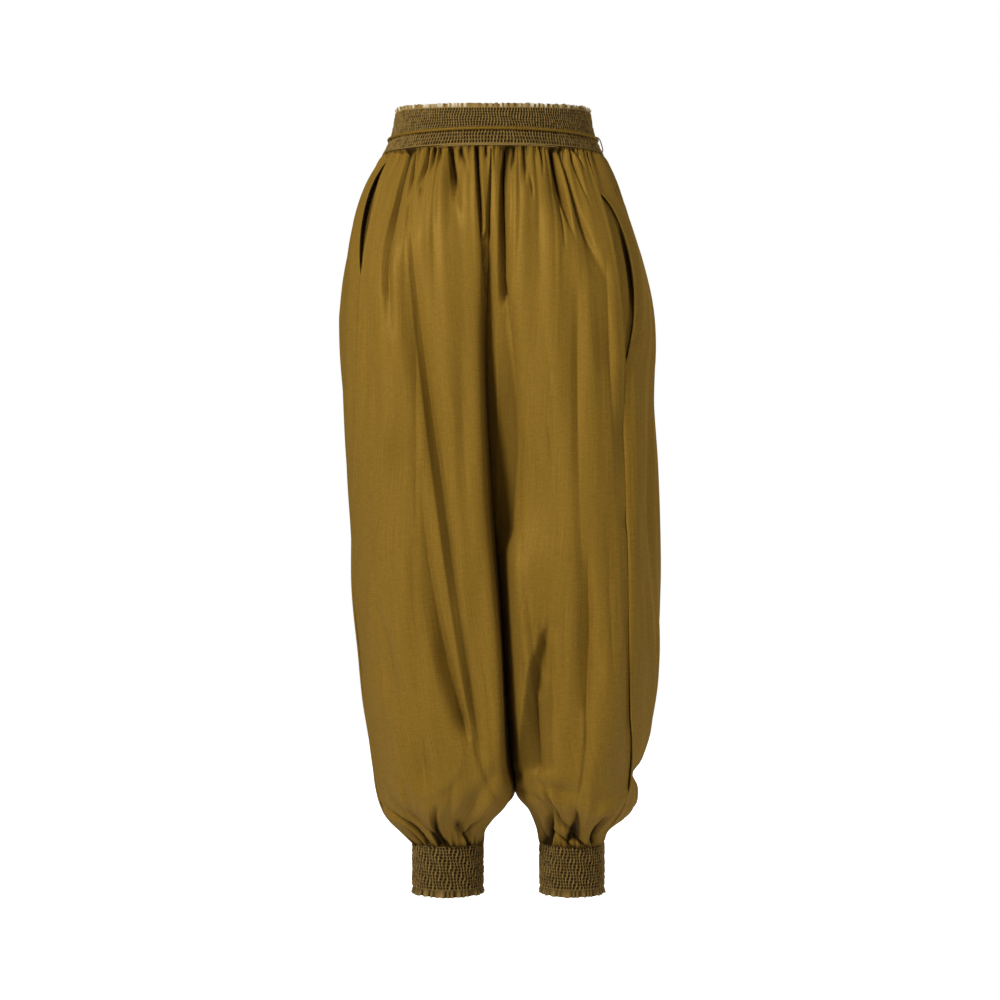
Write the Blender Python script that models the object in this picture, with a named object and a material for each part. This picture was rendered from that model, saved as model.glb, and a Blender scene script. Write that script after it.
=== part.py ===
"""Harem pants of thin silk, worn and filled out with no wearer.

The waist is a shirred double band with piping between its two parts. Four long panels are gathered
to it, meet at the side seams, the centre seams and the inseams, and end gathered in shirred cuffs.
The wearer's front faces -Y, the wearer's left is at +X, and the origin is the middle of the waist,
level with the piping. Sizes in the tables are in millimetres, and the model is in metres.
"""
import math

import bpy
import numpy as np

MM = 0.001

# Cloth thickness and the gap between neighbouring pieces
PANEL_WALL = 1.5 * MM
BAND_WALL = 1.8 * MM
SEAM_GAP = 0.3 * MM

# Heights that divide the garment
WAIST_SEAM = -22.0
CROTCH = -716.0
CUFF_SEAM = -893.0
HEM = -957.0

# How many columns of faces each kind of piece has across it
PANEL_COLUMNS = 26
WAIST_COLUMNS = 56
CUFF_COLUMNS = 30
POCKET_COLUMNS = 5
CURVE_STEPS = 24

# Gathers of each panel, at the waistband and at the cuff: number, depth, and how far they reach
GATHERS = 13
WAIST_GATHER_DEPTH = 2.9
WAIST_GATHER_REACH = 55.0
CUFF_GATHER_DEPTH = 2.3
CUFF_GATHER_REACH = 34.0

# How unevenly the gathers stand and reach, and where each panel's unevenness starts
UNEVEN_DEPTH = 0.25
UNEVEN_REACH = 0.5
GATHERS_FADE = 0.3
GATHER_SHIFTS = {"right_front": 0.0, "left_front": 1.3, "right_back": 2.6, "left_back": 3.9}

# Legs seen from the front and the side, one row for each height, in millimetres.
# outer, seam and inner are the X of a leg's outline, side seam and inner edge; centre is the X
# of the centre seams; front and back are the Y of the leg's fullest points; front_seam and
# back_seam are the Y of the centre seams, and below the crotch of the inseam.
SECTION_COLUMNS = (
    "height", "right_outer", "right_seam", "right_inner", "centre", "left_inner", "left_seam",
    "left_outer", "front", "back", "front_seam", "back_seam")
SECTIONS = (
    (-22, -142, -128, -2.4, -2, -1.6, 118, 142, -97, 97, -97, 97),
    (-60, -161, -141, -4, -2, 0, 128, 159, -112, 115, -107, 112),
    (-100, -175, -150, -6, -3, 0, 138, 174, -122, 129, -112, 122),
    (-150, -186, -158, -9, -4, 1, 147, 189, -130, 140, -111, 128),
    (-200, -193, -163, -12, -6, 0, 154, 199, -134, 145, -105, 129),
    (-260, -195, -166, -13, -8, -3, 160, 205, -136, 146, -92, 122),
    (-330, -192, -168, -11, -7, -2, 162, 205, -137, 143, -74, 108),
    (-410, -187, -171, -7, -3, 2, 164, 209, -137, 139, -54, 90),
    (-490, -180, -174, -2, 2, 8, 165, 211, -136, 135, -38, 70),
    (-570, -178, -174, 4, 9, 16, 167, 212, -133, 131, -24, 50),
    (-650, -170, -167, 11, 14, 19, 168, 212, -130, 127, -10, 26),
    (-716, -164, -161, 15, 18, 22, 169, 205, -126, 123, 2, 2),
    (-755, -158, -155, 17, 21, 26, 170, 198, -123, 119, 14, 14),
    (-790, -154, -150, 20, 24, 28, 170, 187, -118, 113, 16, 16),
    (-826, -149, -144, 25, 28, 31, 165, 183, -108, 103, 8, 8),
    (-845, -144, -138, 16, 28, 43, 157, 180, -95, 90, 0, 0),
    (-860, -137, -129, 0, 24, 50, 149, 169, -79, 75, 0, 0),
    (-876, -121, -114, -10, 22, 56, 139, 149, -61, 59, 0, 0),
    (-893, -103, -98, -12, 21, 59, 134, 142, -45, 45, 0, 0),
)

# Heights of a panel's rows of faces
PANEL_LEVELS = (
    -22, -36, -56, -82, -116, -160, -210, -270, -340, -410, -480, -550, -620, -680, -716, -755,
    -790, -826, -847, -870, -893)

# A leg's roundness: 2 is an ellipse, and more is squarer
OUTER_ROUNDNESS = 2.1
RIGHT_INNER_ROUNDNESS = 4.2
LEFT_INNER_ROUNDNESS = 3.0
LOBE_END = -190.0

# The inner sides of the legs lean together towards the centre seams and the inseams, and touch
# at the inseams down to the height where the legs part
WALL_LEAN = 0.45
LEGS_TOUCH = -826.0
LEGS_PART = -850.0
LEG_GAP = 0.6 * MM

# Behind the inseams the legs' inner sides both bow to the wearer's left, from this height down
BACK_BOW = 4.0
BACK_BOW_TOP = -650.0

# Largest folds, in millimetres: place and height of the top, middle and foot of each fold, its
# depth there (a ridge is negative), and its half width. A front panel's places are X, as seen
# from the front, and a back panel's are measured round the leg from the side seam.
FOLD_COLUMNS = (
    "piece", "top", "top_z", "middle", "middle_z", "foot", "foot_z", "top_depth",
    "middle_depth", "foot_depth", "half_width")
FOLDS = (
    ("right_front", -114, -22, -132, -96, -141, -195, 6, 11, 1, 10),
    ("right_front", -56, -22, -51, -70, -46, -130, 6, 8, 0, 9),
    ("right_front", -100, -166, -85, -290, -61, -470, 1, 8, 2, 12),
    ("right_front", -118, -150, -102, -300, -76, -470, -1, -7, -1, 14),
    ("right_front", -66, -433, -50, -570, -14, -800, -1, -8, -4, 12),
    ("right_front", -84, -552, -64, -650, -40, -735, 2, 11, 1, 11),
    ("right_front", -141, -630, -130, -676, -118, -715, 1, 7, 1, 10),
    ("right_front", -90, -745, -86, -785, -80, -825, 1, 8, 2, 10),
    ("right_front", -120, -838, -102, -856, -86, -878, 2, 7, 1, 9),
    ("right_front", 4, -790, -24, -832, -42, -868, 4, 8, 2, 10),
    ("left_front", 12, -22, 8, -110, 16, -215, 4, 7, 1, 8),
    ("left_front", 74, -22, 80, -80, 97, -150, 6, 10, 1, 10),
    ("left_front", 96, -40, 112, -125, 130, -190, 4, 10, 1, 10),
    ("left_front", 66, -150, 68, -330, 76, -520, -1, -7, -1, 16),
    ("left_front", 27, -419, 36, -540, 48, -701, -2, -10, -4, 12),
    ("left_front", 114, -500, 114, -655, 106, -800, 1, 10, 4, 15),
    ("left_front", 142, -560, 143, -660, 138, -770, -1, -7, -2, 15),
    ("left_front", 46, -806, 84, -814, 128, -826, 6, 8, 2, 10),
    ("left_front", 164, -826, 142, -842, 118, -852, -4, -7, -2, 9),
    ("left_front", 40, -818, 64, -840, 78, -868, 4, 8, 1, 9),
    ("right_back", 96, -22, 104, -100, 98, -210, 6, 8, 1, 10),
    ("right_back", 150, -22, 170, -110, 176, -230, 6, 11, 1, 11),
    ("right_back", 200, -22, 222, -90, 236, -180, 6, 8, 1, 10),
    ("right_back", 70, -180, 84, -360, 78, -560, 1, 8, 2, 14),
    ("right_back", 240, -250, 226, -420, 204, -600, 1, 10, 2, 13),
    ("right_back", 290, -300, 276, -460, 262, -640, -1, -8, -2, 13),
    ("right_back", 120, -430, 140, -600, 152, -770, 1, 10, 2, 14),
    ("right_back", 40, -520, 52, -660, 60, -790, 1, 8, 2, 13),
    ("right_back", 210, -640, 198, -720, 180, -800, -2, -8, -2, 12),
    ("right_back", 60, -806, 110, -820, 170, -812, 4, 8, 2, 10),
    ("left_back", 84, -22, 92, -110, 104, -200, 6, 10, 1, 10),
    ("left_back", 138, -22, 148, -100, 140, -220, 6, 10, 1, 11),
    ("left_back", 190, -22, 214, -90, 232, -170, 6, 8, 1, 10),
    ("left_back", 66, -330, 58, -480, 74, -640, 1, 8, 2, 13),
    ("left_back", 250, -230, 244, -400, 222, -580, 1, 10, 2, 13),
    ("left_back", 150, -300, 160, -460, 152, -620, -1, -8, -2, 14),
    ("left_back", 110, -560, 128, -680, 132, -780, 1, 10, 4, 13),
    ("left_back", 200, -600, 196, -700, 182, -790, 1, 8, 2, 12),
    ("left_back", 20, -800, 70, -806, 130, -824, 6, 10, 2, 11),
)
FOLD_STEPS = 61

# Folds run out by this share of the way across a panel, and the rest of it stays plain to its seam
FOLDS_END = 0.86

# Pocket mouths in the side seams: the back panel stands open from the seam by up to gape,
# measured round the leg, and its lip stands proud of the bag. The skew puts the widest place above
# the middle, and the lip's width is a share of the panel's
POCKET_COLUMN_NAMES = ("side", "top", "foot", "gape", "lip")
POCKETS = (
    ("right", -34, -190, 15, 3),
    ("left", -78, -292, 32, 5),
)
POCKET_SKEW = 0.75
POCKET_FULLNESS = 0.8
POCKET_LIP_WIDTH = 0.12
POCKET_DEPTH = 4.2
POCKET_SEWN_DEPTH = 3.2
POCKET_WALL = 1.2 * MM
POCKET_MARGIN = 12.0
POCKET_ROWS = 8

# Waist rings: height, half width and half depth, in millimetres
WAIST_COLUMN_NAMES = ("height", "half_width", "half_depth")
WAIST = ((-22, 141, 97), (0, 130, 93), (40, 120, 87))
WAIST_TOP_SIDE = 33.0
WAIST_TOP_FRONT = 26.0
WAIST_FRILL = 6.0
WAIST_FRILL_STAND = 0.6
WAIST_FRILL_WAVE = 1.4
UPPER_ROWS = 8
LOWER_ROWS = 4

# Smocked rows stand proud of the stitch lines between them by this much
SMOCKING = 1.3

# The piping's radius, and how far its middle stands out from the bands
PIPING_RADIUS = 2.1
PIPING_STAND = 2.7
PIPING_ROUNDING = 1

# Cuffs: middle, half width and half depth, in millimetres
CUFF_COLUMN_NAMES = ("side", "middle_x", "half_width", "half_depth")
CUFFS = (("right", -57.5, 45.5, 45), ("left", 100.5, 41.5, 43))
CUFF_ROWS = 12
CUFF_FRILL = 10.0
CUFF_FLARE = 1.6
CUFF_FRILL_WAVE = 1.6

SILK = (0.205, 0.118, 0.019, 1.0)
SHIRRED_SILK = (0.105, 0.060, 0.015, 1.0)
SILK_ROUGHNESS = 0.42
SHARP_ANGLE = math.radians(35)


def smooth_step(value, start, end):
    """0 before start, 1 after end, and smooth between them."""
    part = np.clip((value - start) / (end - start), 0.0, 1.0)
    return part * part * (3.0 - 2.0 * part)


def along(rows, names, name, height):
    """A table's column at a height, on a smooth curve through its rows."""
    column = names.index(name)
    ordered = sorted(rows, key=lambda row: row[0])
    places = np.array([row[0] for row in ordered], float)
    values = np.array([row[column] for row in ordered], float)
    slopes = np.gradient(values, places)
    height = float(np.clip(height, places[0], places[-1]))
    index = int(np.clip(np.searchsorted(places, height) - 1, 0, len(places) - 2))
    span = places[index + 1] - places[index]
    part = (height - places[index]) / span
    return ((2 * part ** 3 - 3 * part ** 2 + 1) * values[index]
            + (part ** 3 - 2 * part ** 2 + part) * span * slopes[index]
            + (3 * part ** 2 - 2 * part ** 3) * values[index + 1]
            + (part ** 3 - part ** 2) * span * slopes[index + 1])


def section(name, height):
    return along(SECTIONS, SECTION_COLUMNS, name, height)


def quadrant(side_x, side_y, end_x, end_y, roundness):
    """A quarter of a rounded outline, from a point that runs along Y to one that runs along X."""
    angles = np.linspace(0.0, math.pi / 2, CURVE_STEPS)
    reach = np.cos(angles).clip(0.0) ** (2.0 / roundness)
    rise = np.sin(angles).clip(0.0) ** (2.0 / roundness)
    return np.column_stack((end_x + (side_x - end_x) * reach, side_y + (end_y - side_y) * rise))


def half_outline(side, height, full_y, seam_y):
    """Half of a leg's outline, from its outermost point round the front or back to its seam."""
    outer = section(side + "_outer", height)
    inner = section(side + "_inner", height)
    centre = section("centre", height)
    turn = smooth_step(-height, -WAIST_SEAM, -LOBE_END)
    lobe = inner + 0.5 * turn * (outer - inner)
    inner_roundness = RIGHT_INNER_ROUNDNESS if side == "right" else LEFT_INNER_ROUNDNESS
    foot = smooth_step(-height, -CROTCH, -CUFF_SEAM)
    inner_roundness = inner_roundness + (2.0 - inner_roundness) * foot
    outline = [quadrant(outer, 0.0, lobe, full_y, OUTER_ROUNDNESS)]
    gap = SEAM_GAP if height > CROTCH else LEG_GAP
    touching = centre + math.copysign(0.5 * gap / MM, outer)
    apart = smooth_step(-height, -LEGS_TOUCH, -LEGS_PART)
    edge = touching + apart * (inner - touching)
    if full_y > 0.0:
        bow = smooth_step(-height, -BACK_BOW_TOP, -CROTCH) * (1.0 - apart)
        inner += bow * (touching + BACK_BOW - inner)
    if height <= CROTCH:
        seam_y += math.copysign(0.5 * SEAM_GAP / MM, full_y)
    wall = quadrant(1.0, seam_y, 0.0, full_y, inner_roundness)
    rise = (wall[:, 1] - seam_y) / (full_y - seam_y) if full_y != seam_y else wall[:, 0] * 0.0
    side_x = edge + (inner - edge) * smooth_step(rise, 0.0, WALL_LEAN)
    wall[:, 0] = lobe + (side_x - lobe) * wall[:, 0]
    outline.append(wall[::-1])
    return np.vstack(outline)


def round_lengths(outline):
    """The length from the outline's start to each of its points."""
    steps = np.linalg.norm(np.diff(outline, axis=0), axis=1)
    return np.concatenate(([0.0], np.cumsum(steps)))


def pocket_gape(side, height):
    """How far the back panel stands away from the side seam at a height."""
    for row in POCKETS:
        pocket = dict(zip(POCKET_COLUMN_NAMES, row))
        if pocket["side"] == side and pocket["foot"] < height < pocket["top"]:
            part = (pocket["top"] - height) / (pocket["top"] - pocket["foot"])
            return pocket["gape"] * math.sin(math.pi * part ** POCKET_SKEW) ** POCKET_FULLNESS
    return 0.0


def pocket_lip(side, height):
    """How far the back panel's edge stands proud at a height."""
    for row in POCKETS:
        pocket = dict(zip(POCKET_COLUMN_NAMES, row))
        if pocket["side"] == side and pocket["gape"]:
            return pocket["lip"] * pocket_gape(side, height) / pocket["gape"]
    return 0.0


def leg_row(side, face, across, height, gape=None):
    """Points of one panel's row. across is 0 at the side seam and 1 at the centre or inseam."""
    front = half_outline(side, height, section("front", height), section("front_seam", height))
    back = half_outline(side, height, section("back", height), section("back_seam", height))
    outline = np.vstack((back[::-1], front[1:]))
    lengths = round_lengths(outline)
    outermost = len(back) - 1
    lobe = outermost + CURVE_STEPS - 1
    seam_x = section(side + "_seam", height)
    outer_x = outline[outermost:lobe, 0]
    order = np.argsort(outer_x)
    seam = np.interp(seam_x, outer_x[order], lengths[outermost:lobe][order])
    gape = pocket_gape(side, height) if gape is None else gape
    if face == "front":
        places = seam + 0.5 * SEAM_GAP / MM + across * (lengths[-1] - seam)
        places = np.minimum(places, lengths[-1])
    else:
        start = seam - 0.5 * SEAM_GAP / MM - gape
        places = start - across * start
        places = np.maximum(places, 0.0)
    x = np.interp(places, lengths, outline[:, 0])
    y = np.interp(places, lengths, outline[:, 1])
    return np.column_stack((x, y, np.full(len(x), float(height))))


def fold_depths(piece, places, heights):
    """How deep the piece's folds lie at each place and height, in millimetres."""
    places = np.asarray(places, float)[:, None]
    heights = np.asarray(heights, float)[:, None]
    depths = np.zeros(len(places))
    steps = np.linspace(0.0, 1.0, FOLD_STEPS)
    for row in FOLDS:
        fold = dict(zip(FOLD_COLUMNS, row))
        if fold["piece"] != piece:
            continue
        early = 2 * (steps - 0.5) * (steps - 1.0)
        middle = 4 * steps * (1.0 - steps)
        late = 2 * steps * (steps - 0.5)
        line = early * fold["top"] + middle * fold["middle"] + late * fold["foot"]
        line_z = early * fold["top_z"] + middle * fold["middle_z"] + late * fold["foot_z"]
        line_depth = np.interp(
            steps, (0.0, 0.5, 1.0),
            (fold["top_depth"], fold["middle_depth"], fold["foot_depth"]))
        away = np.hypot(places - line, heights - line_z)
        nearest = away.argmin(axis=1)
        distance = away.min(axis=1)
        depths += line_depth[nearest] * np.exp(-(distance / fold["half_width"]) ** 2)
    return depths


def gather_heights(across, height, shift):
    """How far the gathers raise a panel's row at the waistband and at the cuff."""
    index = np.round(across * 2 * GATHERS)
    uneven = 1.0 - UNEVEN_DEPTH + UNEVEN_DEPTH * np.sin(1.7 * index + shift)
    longer = 1.0 + UNEVEN_REACH * np.sin(0.9 * index + 2.0 * shift)
    wave = np.cos(2 * math.pi * GATHERS * across)
    waist = WAIST_GATHER_DEPTH * np.exp(-((WAIST_SEAM - height) / (WAIST_GATHER_REACH * longer)))
    cuff = CUFF_GATHER_DEPTH * np.exp(-((height - CUFF_SEAM) / (CUFF_GATHER_REACH * longer)))
    ends = np.sin(math.pi * np.clip(across, 0.0, 1.0)) ** GATHERS_FADE
    return wave * uneven * (waist + cuff) * ends


def panel_grid(side, face, columns, levels):
    """Outer points and outward directions of one panel, row by row, in millimetres."""
    across = np.linspace(0.0, 1.0, columns + 1)
    step = across[1]
    wide = np.concatenate(([-step], across))
    piece = side + "_" + face
    shift = GATHER_SHIFTS[piece]
    rows = np.array([leg_row(side, face, wide, height) for height in levels])
    outward = row_directions(rows, side)
    inside = smooth_step(np.clip(wide, 0.0, 1.0), 1.0, FOLDS_END)
    for index, height in enumerate(levels):
        row = rows[index]
        places = row[:, 0] if face == "front" else wide * leg_length(side, face, height)
        depths = fold_depths(piece, places, row[:, 2])
        raise_by = gather_heights(wide, height, shift) - depths * inside
        if face == "back":
            raise_by = raise_by + pocket_lip(side, height) * np.exp(-(wide / POCKET_LIP_WIDTH) ** 2)
        rows[index] = row + outward[index] * raise_by[:, None]
    normals = wall_directions(rows, outward)
    for index, height in enumerate(levels):
        flat_axis = 0 if height > CROTCH else 1
        normals[index, -1, flat_axis] = 0.0
    normals /= np.linalg.norm(normals, axis=2, keepdims=True)
    return rows[:, 1:], normals[:, 1:]


def row_directions(rows, side):
    """Level directions that point out of the leg, at each point of its rows."""
    tangent = np.gradient(rows, axis=1)
    tangent[..., 2] = 0.0
    outward = np.stack((tangent[..., 1], -tangent[..., 0], tangent[..., 2]), axis=-1)
    lengths = np.linalg.norm(outward, axis=2, keepdims=True)
    outward = outward / np.maximum(lengths, 1e-9)
    sign = 1.0 if side == "right" else -1.0
    if rows[0, 2, 0] * sign > rows[0, -2, 0] * sign:
        raise ValueError("a row runs the wrong way")
    if rows[0, -1, 1] > 0:
        sign = -sign
    return outward * sign


def wall_directions(rows, outward):
    """Directions square to the folded surface, on the same side as outward."""
    along_row = np.gradient(rows, axis=1)
    down = np.gradient(rows, axis=0)
    normals = np.cross(along_row, down)
    flip = np.sign(np.sum(normals * outward, axis=2, keepdims=True))
    normals = normals * np.where(flip == 0, 1.0, flip)
    return normals / np.maximum(np.linalg.norm(normals, axis=2, keepdims=True), 1e-9)


def add_object(name, points, faces, colour, collection):
    """A closed body from points in millimetres, with its faces pointing out."""
    mesh = bpy.data.meshes.new(name)
    mesh.from_pydata([tuple(point) for point in np.asarray(points) * MM], [], faces)
    mesh.validate()
    item = bpy.data.objects.new(name, mesh)
    collection.objects.link(item)
    return finish_object(item, colour)


def finish_object(item, colour):
    """Give an object its material and smooth shading."""
    material = bpy.data.materials.new(item.name)
    material.use_nodes = True
    shader = material.node_tree.nodes["Principled BSDF"]
    shader.inputs["Base Color"].default_value = colour
    shader.inputs["Roughness"].default_value = SILK_ROUGHNESS
    shader.inputs["Metallic"].default_value = 0.0
    item.data.materials.append(material)
    if item.type == "MESH":
        item.data.shade_smooth()
        item.data.set_sharp_from_angle(angle=SHARP_ANGLE)
    return item


def sheet_wall(outer, inner):
    """Points and faces of a wall between two grids of the same size, closed at its edges."""
    rows, columns = outer.shape[:2]
    points = np.concatenate((outer.reshape(-1, 3), inner.reshape(-1, 3)))
    half = rows * columns

    def at(row, column, layer):
        return layer * half + row * columns + column

    faces = []
    for row in range(rows - 1):
        for column in range(columns - 1):
            faces.append((at(row, column, 0), at(row, column + 1, 0),
                          at(row + 1, column + 1, 0), at(row + 1, column, 0)))
            faces.append((at(row, column, 1), at(row + 1, column, 1),
                          at(row + 1, column + 1, 1), at(row, column + 1, 1)))
    for row in range(rows - 1):
        faces.append((at(row, 0, 0), at(row + 1, 0, 0), at(row + 1, 0, 1), at(row, 0, 1)))
        last = columns - 1
        faces.append((at(row, last, 0), at(row, last, 1),
                      at(row + 1, last, 1), at(row + 1, last, 0)))
    for column in range(columns - 1):
        faces.append((at(0, column, 0), at(0, column, 1),
                      at(0, column + 1, 1), at(0, column + 1, 0)))
        last = rows - 1
        faces.append((at(last, column, 0), at(last, column + 1, 0),
                      at(last, column + 1, 1), at(last, column, 1)))
    return points, faces


def face_out(points, faces):
    """The same faces, turned round if they point into the body."""
    volume = 0.0
    for face in faces:
        first = points[face[0]]
        for second, third in zip(face[1:-1], face[2:]):
            volume += np.dot(first, np.cross(points[second], points[third]))
    return faces if volume > 0 else [tuple(reversed(face)) for face in faces]


def add_panel(side, face, collection):
    """A leg panel, gathered at both ends, with its largest folds."""
    outer, normals = panel_grid(side, face, PANEL_COLUMNS, PANEL_LEVELS)
    inner = outer - normals * (PANEL_WALL / MM)
    top = PANEL_LEVELS[0]
    inner[0, :, 2] = top
    inner[-1, :, 2] = PANEL_LEVELS[-1]
    points, faces = sheet_wall(outer, inner)
    add_object(side + "_" + face, points, face_out(points, faces), SILK, collection)


def add_pocket_bag(side, collection):
    """The pocket's bag behind its mouth, just inside both panels and sewn under the front one."""
    pocket = next(dict(zip(POCKET_COLUMN_NAMES, row)) for row in POCKETS if row[0] == side)
    levels = np.linspace(pocket["top"] + POCKET_MARGIN, pocket["foot"] - POCKET_MARGIN, POCKET_ROWS)
    rows = []
    for height in levels:
        reach = pocket_gape(side, height) + POCKET_MARGIN
        back_places = np.linspace(reach, 0.0, POCKET_COLUMNS) / leg_length(side, "back", height)
        front_places = np.array([POCKET_MARGIN / leg_length(side, "front", height)])
        rows.append(np.vstack((leg_row(side, "back", back_places, height, gape=0.0),
                               leg_row(side, "front", front_places, height))))
    rows = np.array(rows)
    outward = row_directions(rows, side)
    depths = np.array([
        POCKET_DEPTH + fold_depths(side + "_front", row[:, 0], row[:, 2]).clip(0.0)
        for row in rows])
    depths[:, -1] += POCKET_SEWN_DEPTH - POCKET_DEPTH
    outer = rows - outward * depths[..., None]
    inner = outer - outward * (POCKET_WALL / MM)
    points, faces = sheet_wall(outer, inner)
    add_object(side + "_pocket_bag", points, face_out(points, faces), SILK, collection)


def leg_length(side, face, height):
    """The length of a panel's row round the leg."""
    row = leg_row(side, face, np.linspace(0.0, 1.0, CURVE_STEPS), height, gape=0.0)
    return round_lengths(row[:, :2])[-1]


def ring_wall(rings):
    """Points and faces of a closed band from rings that run up its outside and down its inside."""
    count = len(rings[0])
    points = np.concatenate(rings)
    faces = []
    for index in range(len(rings)):
        following = (index + 1) % len(rings)
        for column in range(count):
            nearby = (column + 1) % count
            faces.append((index * count + column, index * count + nearby,
                          following * count + nearby, following * count + column))
    return points, faces


def smocked_levels(low, high, rows):
    """Heights and outward stands of smocked rows: a stitch line, a puff, a stitch line."""
    pitch = (high - low) / rows
    levels = [(low, 0.0)]
    for row in range(rows):
        levels.append((low + (row + 0.5) * pitch, SMOCKING))
        levels.append((low + (row + 1.0) * pitch, 0.0))
    return levels


def ellipse_ring(middle_x, half_width, half_depth, heights, angles):
    return np.column_stack((middle_x + half_width * np.cos(angles),
                            half_depth * np.sin(angles), heights))


def waist_ring(height, stand, angles, rise=0.0, wave=0.0):
    """A ring of the waist. rise lifts its front to the sides' height, and wave frills it."""
    heights = height + rise * (1.0 - np.clip(-np.sin(angles), 0.0, 1.0) ** 2)
    half_width = along(WAIST, WAIST_COLUMN_NAMES, "half_width", height)
    half_depth = along(WAIST, WAIST_COLUMN_NAMES, "half_depth", height)
    frill = wave * np.cos(0.5 * len(angles) * angles)
    return ellipse_ring(0.0, half_width + stand + frill, half_depth + stand + frill,
                        heights, angles)


def add_waistband_upper(collection):
    """The upper band: smocked rows, and a frilled edge that rises a little to the sides."""
    angles = np.linspace(0.0, 2 * math.pi, WAIST_COLUMNS, endpoint=False)
    low = 0.5 * SEAM_GAP / MM
    rise = WAIST_TOP_SIDE - WAIST_TOP_FRONT
    wall = BAND_WALL / MM
    rings = []
    for height, stand in smocked_levels(low, WAIST_TOP_FRONT, UPPER_ROWS):
        share = (height - low) / (WAIST_TOP_FRONT - low)
        rings.append(waist_ring(height, stand, angles, rise * share))
    top = WAIST_TOP_FRONT + WAIST_FRILL
    rings.append(waist_ring(top, WAIST_FRILL_STAND, angles, rise, WAIST_FRILL_WAVE))
    rings.append(waist_ring(top, WAIST_FRILL_STAND - wall, angles, rise, WAIST_FRILL_WAVE))
    rings.append(waist_ring(WAIST_TOP_FRONT, -wall, angles, rise))
    rings.append(waist_ring(low, -wall, angles))
    points, faces = ring_wall(rings)
    add_object("waistband_upper", points, face_out(points, faces), SHIRRED_SILK, collection)


def add_waistband_lower(collection):
    """The lower band, down to the seam where the panels are gathered."""
    angles = np.linspace(0.0, 2 * math.pi, WAIST_COLUMNS, endpoint=False)
    low = WAIST_SEAM + SEAM_GAP / MM
    high = -0.5 * SEAM_GAP / MM
    wall = BAND_WALL / MM
    levels = smocked_levels(low, high, LOWER_ROWS)
    rings = [waist_ring(height, stand, angles) for height, stand in levels]
    rings.append(waist_ring(high, -wall, angles))
    rings.append(waist_ring(low, -wall, angles))
    points, faces = ring_wall(rings)
    add_object("waistband_lower", points, face_out(points, faces), SHIRRED_SILK, collection)


def add_piping(collection):
    """The piping on the seam between the two bands, a closed cord round the waist."""
    angles = np.linspace(0.0, 2 * math.pi, WAIST_COLUMNS, endpoint=False)
    ring = waist_ring(0.0, PIPING_STAND, angles) * MM
    curve = bpy.data.curves.new("waist_piping", "CURVE")
    curve.dimensions = "3D"
    curve.bevel_depth = PIPING_RADIUS * MM
    curve.bevel_resolution = PIPING_ROUNDING
    spline = curve.splines.new("POLY")
    spline.points.add(len(ring) - 1)
    for point, place in zip(spline.points, ring):
        point.co = (*place, 1.0)
    spline.use_cyclic_u = True
    item = bpy.data.objects.new("waist_piping", curve)
    collection.objects.link(item)
    finish_object(item, SILK)


def add_cuff(row, collection):
    """A smocked ankle cuff, with a frilled hem that flares a little."""
    cuff = dict(zip(CUFF_COLUMN_NAMES, row))
    angles = np.linspace(0.0, 2 * math.pi, CUFF_COLUMNS, endpoint=False)
    top = CUFF_SEAM - SEAM_GAP / MM
    smocked_foot = HEM + CUFF_FRILL
    wall = BAND_WALL / MM

    def ring(height, stand, wave=0.0):
        frill = stand + wave * np.cos(0.5 * CUFF_COLUMNS * angles)
        return ellipse_ring(cuff["middle_x"], cuff["half_width"] - SMOCKING + frill,
                            cuff["half_depth"] - SMOCKING + frill,
                            np.full(CUFF_COLUMNS, height), angles)

    rings = [ring(HEM, CUFF_FLARE, CUFF_FRILL_WAVE)]
    rings += [ring(height, stand) for height, stand in smocked_levels(smocked_foot, top, CUFF_ROWS)]
    rings.append(ring(top, -wall))
    rings.append(ring(smocked_foot, -wall))
    rings.append(ring(HEM, CUFF_FLARE - wall, CUFF_FRILL_WAVE))
    points, faces = ring_wall(rings)
    add_object(cuff["side"] + "_cuff", points, face_out(points, faces), SHIRRED_SILK, collection)


def main():
    for item in list(bpy.data.objects):
        bpy.data.objects.remove(item, do_unlink=True)
    collection = bpy.data.collections.new("harem_pants")
    bpy.context.scene.collection.children.link(collection)
    for side in ("right", "left"):
        for face in ("front", "back"):
            add_panel(side, face, collection)
        add_pocket_bag(side, collection)
    add_waistband_upper(collection)
    add_waistband_lower(collection)
    add_piping(collection)
    for row in CUFFS:
        add_cuff(row, collection)


main()
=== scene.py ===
"""Looks of the harem pants: thin satin silk, shirred bands, piping, pockets, seams and frills.

Every piece of cloth follows the section and fold formulas of the solid that it replaces, with finer
gathers, puckers and creases on top. The wearer's front faces -Y and the wearer's left is at +X.
Sizes in the tables are in millimetres, and the model is in metres.
"""
import math

import bpy
import numpy as np
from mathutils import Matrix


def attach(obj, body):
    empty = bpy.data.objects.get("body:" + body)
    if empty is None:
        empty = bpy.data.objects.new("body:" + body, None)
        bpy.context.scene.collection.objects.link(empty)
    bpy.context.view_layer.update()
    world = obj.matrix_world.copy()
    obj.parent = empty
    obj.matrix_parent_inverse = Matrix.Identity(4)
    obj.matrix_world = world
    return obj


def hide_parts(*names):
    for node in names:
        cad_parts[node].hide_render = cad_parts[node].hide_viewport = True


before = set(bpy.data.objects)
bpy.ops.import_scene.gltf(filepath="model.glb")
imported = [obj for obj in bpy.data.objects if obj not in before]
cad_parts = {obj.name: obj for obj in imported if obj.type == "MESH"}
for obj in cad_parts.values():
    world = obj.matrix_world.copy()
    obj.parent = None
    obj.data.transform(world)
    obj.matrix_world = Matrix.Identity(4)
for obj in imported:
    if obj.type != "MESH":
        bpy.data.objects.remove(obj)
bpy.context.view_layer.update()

MM = 0.001
CLOTH_MAP = "cloth"
# Attribute of painted light on the cloth: painted shade above zero, painted highlight below zero
PAINTED_LIGHT_ATTRIBUTE = "painted_light"
SEED = 7
FULL_TURN = 2 * math.pi
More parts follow.
